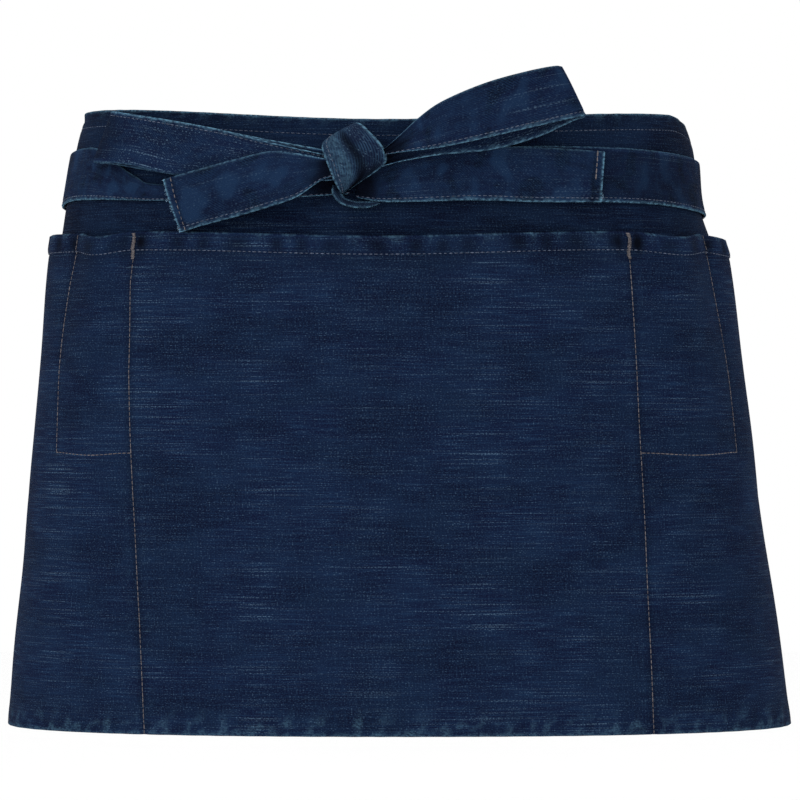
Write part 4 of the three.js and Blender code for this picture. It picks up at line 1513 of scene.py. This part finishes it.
class APRON_OT_stitches(bpy.types.Operator):
    """Sews the hems, the pocket seams, the bartacks and the ties."""

    bl_idname = "apron.stitches"
    bl_label = "Stitches"

    def execute(self, context):
        cloth, sewing, bow = (settings("apron_" + key) for key in ("cloth", "sewing", "bow"))
        span = pocket_span()
        hems = [pocket_line(FRONT_ROW, cloth.mouth_hem + 0.4 * MM)]
        hems += [pocket_line(place, np.linspace(2 * MM, span - 2 * MM, 120)) for place in SIDE_ROWS]
        sew("mouth_stitches", hems, GREY_THREAD, "pocket_denim")

        seams = []
        for places, reach in ((LONG_SEAMS, span), (SHORT_SEAMS, cloth.side_depth)):
            depth = np.linspace(1.5 * MM, reach - 1 * MM, 200)
            seams += [pocket_line(float(place), depth) for place in places]
        seams += [pocket_line(np.linspace(*floor, 80), cloth.side_depth) for floor in POCKET_FLOORS]
        sew("seam_stitches", seams, TAN_THREAD, "pocket_denim", length=2.9 * MM)

        tacks = [line for place in LONG_SEAMS for line in bartack(place)]
        sew("bartacks", tacks, TAN_THREAD, "pocket_denim", pitch=4 * MM, length=2.6 * MM)

        edge = waist_edge_height(FRONT_ROW) - cloth.waist_hem
        waist = on_form(arc_at(FRONT_ROW, edge), cloth.thick - 0.2 * MM, edge)
        sew("waist_stitches", [waist], GREY_THREAD, "body_denim", thick=0.42 * MM)

        inset = sewing.inset / bow.width
        made = strips()
        rows = [strip.row(inset if strip.sewn[0] else 1 - inset) for strip in made.values()]
        # The rim of the knot's left lobe
        face, _, _ = band_grid()
        rim = face[6:-4, 5]
        rows.append(on_form(rim[:, 0], rim[:, 1] + STITCH_PROUD, rim[:, 2]))
        sew("tie_stitches", rows, GREY_THREAD, "tie_denim", thick=0.5 * MM)
        row = made["left_tail"].cross_row(3.5 * MM, 0.04, 0.96)
        sew("left_end_stitches", [row], TAN_THREAD, "tie_denim")
        row = made["right_tail"].cross_row(3 * MM, 0.5, 0.95)
        sew("right_end_stitches", [row], TAN_THREAD, "tie_denim", length=3.3 * MM, thick=0.95 * MM)
        return {"FINISHED"}


# Loose threads


def thread_tree():
    """A tree that turns the lines of a mesh into thin round threads."""
    tree, given, lines = lines_tree("Loose threads", "Thread")
    half = add_node(tree, "ShaderNodeMath", {0: given["Thread"], 1: 0.5}, operation="MULTIPLY")
    inputs = {"Resolution": 5, "Radius": half.outputs[0]}
    ring = add_node(tree, "GeometryNodeCurvePrimitiveCircle", inputs)
    inputs = {"Curve": lines, "Profile Curve": ring.outputs[0], "Fill Caps": True}
    tubes = add_node(tree, "GeometryNodeCurveToMesh", inputs)
    smooth = add_node(tree, "GeometryNodeSetShadeSmooth", {"Geometry": tubes.outputs[0]})
    return end_tree(tree, smooth.outputs[0], given["Material"])


# The loose threads of each tail: how many, and up to which share of its width
LEFT_FRAY = (90, 1.0)
RIGHT_FRAY = (36, 0.2)
LOOSE_THREAD = 0.28 * MM


def frayed_end(strip, seed, count, high):
    """Lines of loose weft past a strip's cut end, from its lower edge up to a share of its width."""
    bow, sewing = settings("apron_bow"), settings("apron_sewing")
    random = np.random.default_rng(seed)
    made = []
    for _ in range(count):
        v = random.uniform(0.01, 0.99 * high)
        reach = sewing.fray * random.uniform(0.25, 1) ** 1.5
        depth = random.uniform(-0.5, 0.5) * bow.thick
        base = strip.points(np.array([0.992, 1.0]), np.full(2, v), np.full(2, depth))
        ahead = unit(base[1] - base[0])
        bend = random.normal(0, 0.45, 3) * np.array([0.5, 0.25, 1])
        share = np.linspace(0, 1, 5)[:, None]
        made.append(base[1] - ahead * MM + share * reach * (ahead + bend * share))
    return made


class APRON_OT_frayed_ends(bpy.types.Operator):
    """Frays the cut ends of the two tails."""

    bl_idname = "apron.frayed_ends"
    bl_label = "Frayed ends"

    def execute(self, context):
        made = strips()
        lines = frayed_end(made["left_tail"], SEED, *LEFT_FRAY)
        lines += frayed_end(made["right_tail"], SEED + 1, *RIGHT_FRAY)
        values = {"Thread": LOOSE_THREAD, "Material": bpy.data.materials[RAW_COTTON]}
        mesh = plain_mesh_from(lines_mesh("frayed_ends", lines), thread_tree(), values)
        new_piece("frayed_ends", mesh, "tie_denim")
        return {"FINISHED"}


# Stage


FLOOR_HEIGHT = -0.86
FLOOR_HALF = 12.0
CAMERA_PLACE = (0.0093, -3.0, -0.126)
CAMERA_LENS = 231.2
CAMERA_SENSOR = 36.0
LIGHT_AIM = (0, 0, -0.12)
# Each soft light: its place, its width in metres and its power in watts
LIGHTS = (
    ("key_light", (-1.7, -2.4, 1.7), 2.2, 60),
    ("fill_light", (2.2, -2.2, 0.6), 2.4, 10),
    ("top_light", (0.2, 0.6, 2.6), 2.4, 30),
)


class APRON_OT_stage(bpy.types.Operator):
    """Makes the floor, the soft lights and the camera."""

    bl_idname = "apron.stage"
    bl_label = "Stage"

    def execute(self, context):
        scene = context.scene
        half = FLOOR_HALF
        corners = [(-half, -half), (half, -half), (half, half), (-half, half)]
        mesh = bpy.data.meshes.new("floor")
        mesh.from_pydata([(x, y, FLOOR_HEIGHT) for x, y in corners], [], [(0, 1, 2, 3)])
        mesh.materials.append(bpy.data.materials[PAPER])
        floor = bpy.data.objects.new("floor", mesh)
        scene.collection.objects.link(floor)

        world = bpy.data.worlds.new("Pale studio")
        world.use_nodes = True
        background = world.node_tree.nodes["Background"].inputs
        background["Color"].default_value = (1, 1, 1, 1)
        background["Strength"].default_value = 1.0
        scene.world = world

        for name, place, width, power in LIGHTS:
            data = bpy.data.lights.new(name, "AREA")
            data.size = width
            data.energy = power
            lamp = bpy.data.objects.new(name, data)
            lamp.location = place
            towards = Vector(np.subtract(LIGHT_AIM, place))
            lamp.rotation_euler = towards.to_track_quat("-Z", "Y").to_euler()
            scene.collection.objects.link(lamp)

        data = bpy.data.cameras.new("camera")
        data.lens = CAMERA_LENS
        data.sensor_width = CAMERA_SENSOR
        camera = bpy.data.objects.new("camera", data)
        camera.location = CAMERA_PLACE
        camera.rotation_euler = (math.pi / 2, 0, 0)
        scene.collection.objects.link(camera)
        scene.camera = camera
        scene.view_settings.view_transform = "Standard"
        return {"FINISHED"}


OPERATORS = (
    APRON_OT_finishes,
    APRON_OT_main_cloth,
    APRON_OT_pocket_cloth,
    APRON_OT_ties,
    APRON_OT_loops,
    APRON_OT_tails,
    APRON_OT_knot,
    APRON_OT_stitches,
    APRON_OT_frayed_ends,
    APRON_OT_stage,
)


class APRON_PT_panel(bpy.types.Panel):
    """Lists the apron's pieces and settings."""

    bl_idname = "APRON_PT_panel"
    bl_label = "Denim waist apron"
    bl_space_type = "VIEW_3D"
    bl_region_type = "UI"
    bl_category = "Apron"

    def draw(self, context):
        for name, group in SETTINGS.items():
            box = self.layout.box()
            box.label(text=group.__doc__.split(":")[0])
            for key in group.__annotations__:
                box.prop(settings(name), key)
        for operator in OPERATORS:
            self.layout.operator(operator.bl_idname)


def register():
    """Registers the classes and the settings."""
    for group in SETTINGS.values():
        bpy.utils.register_class(group)
    for operator in (*OPERATORS, APRON_PT_panel):
        bpy.utils.register_class(operator)
    for name, group in SETTINGS.items():
        setattr(bpy.types.Scene, name, PointerProperty(type=group))


def unregister():
    """Takes the classes and the settings away again."""
    for name in SETTINGS:
        delattr(bpy.types.Scene, name)
    for operator in (APRON_PT_panel, *reversed(OPERATORS)):
        bpy.utils.unregister_class(operator)
    for group in reversed(SETTINGS.values()):
        bpy.utils.unregister_class(group)


def main():
    """Makes the whole apron and its stage."""
    register()
    for operator in OPERATORS:
        group, name = operator.bl_idname.split(".")
        getattr(getattr(bpy.ops, group), name)()


if __name__ == "__main__":
    main()
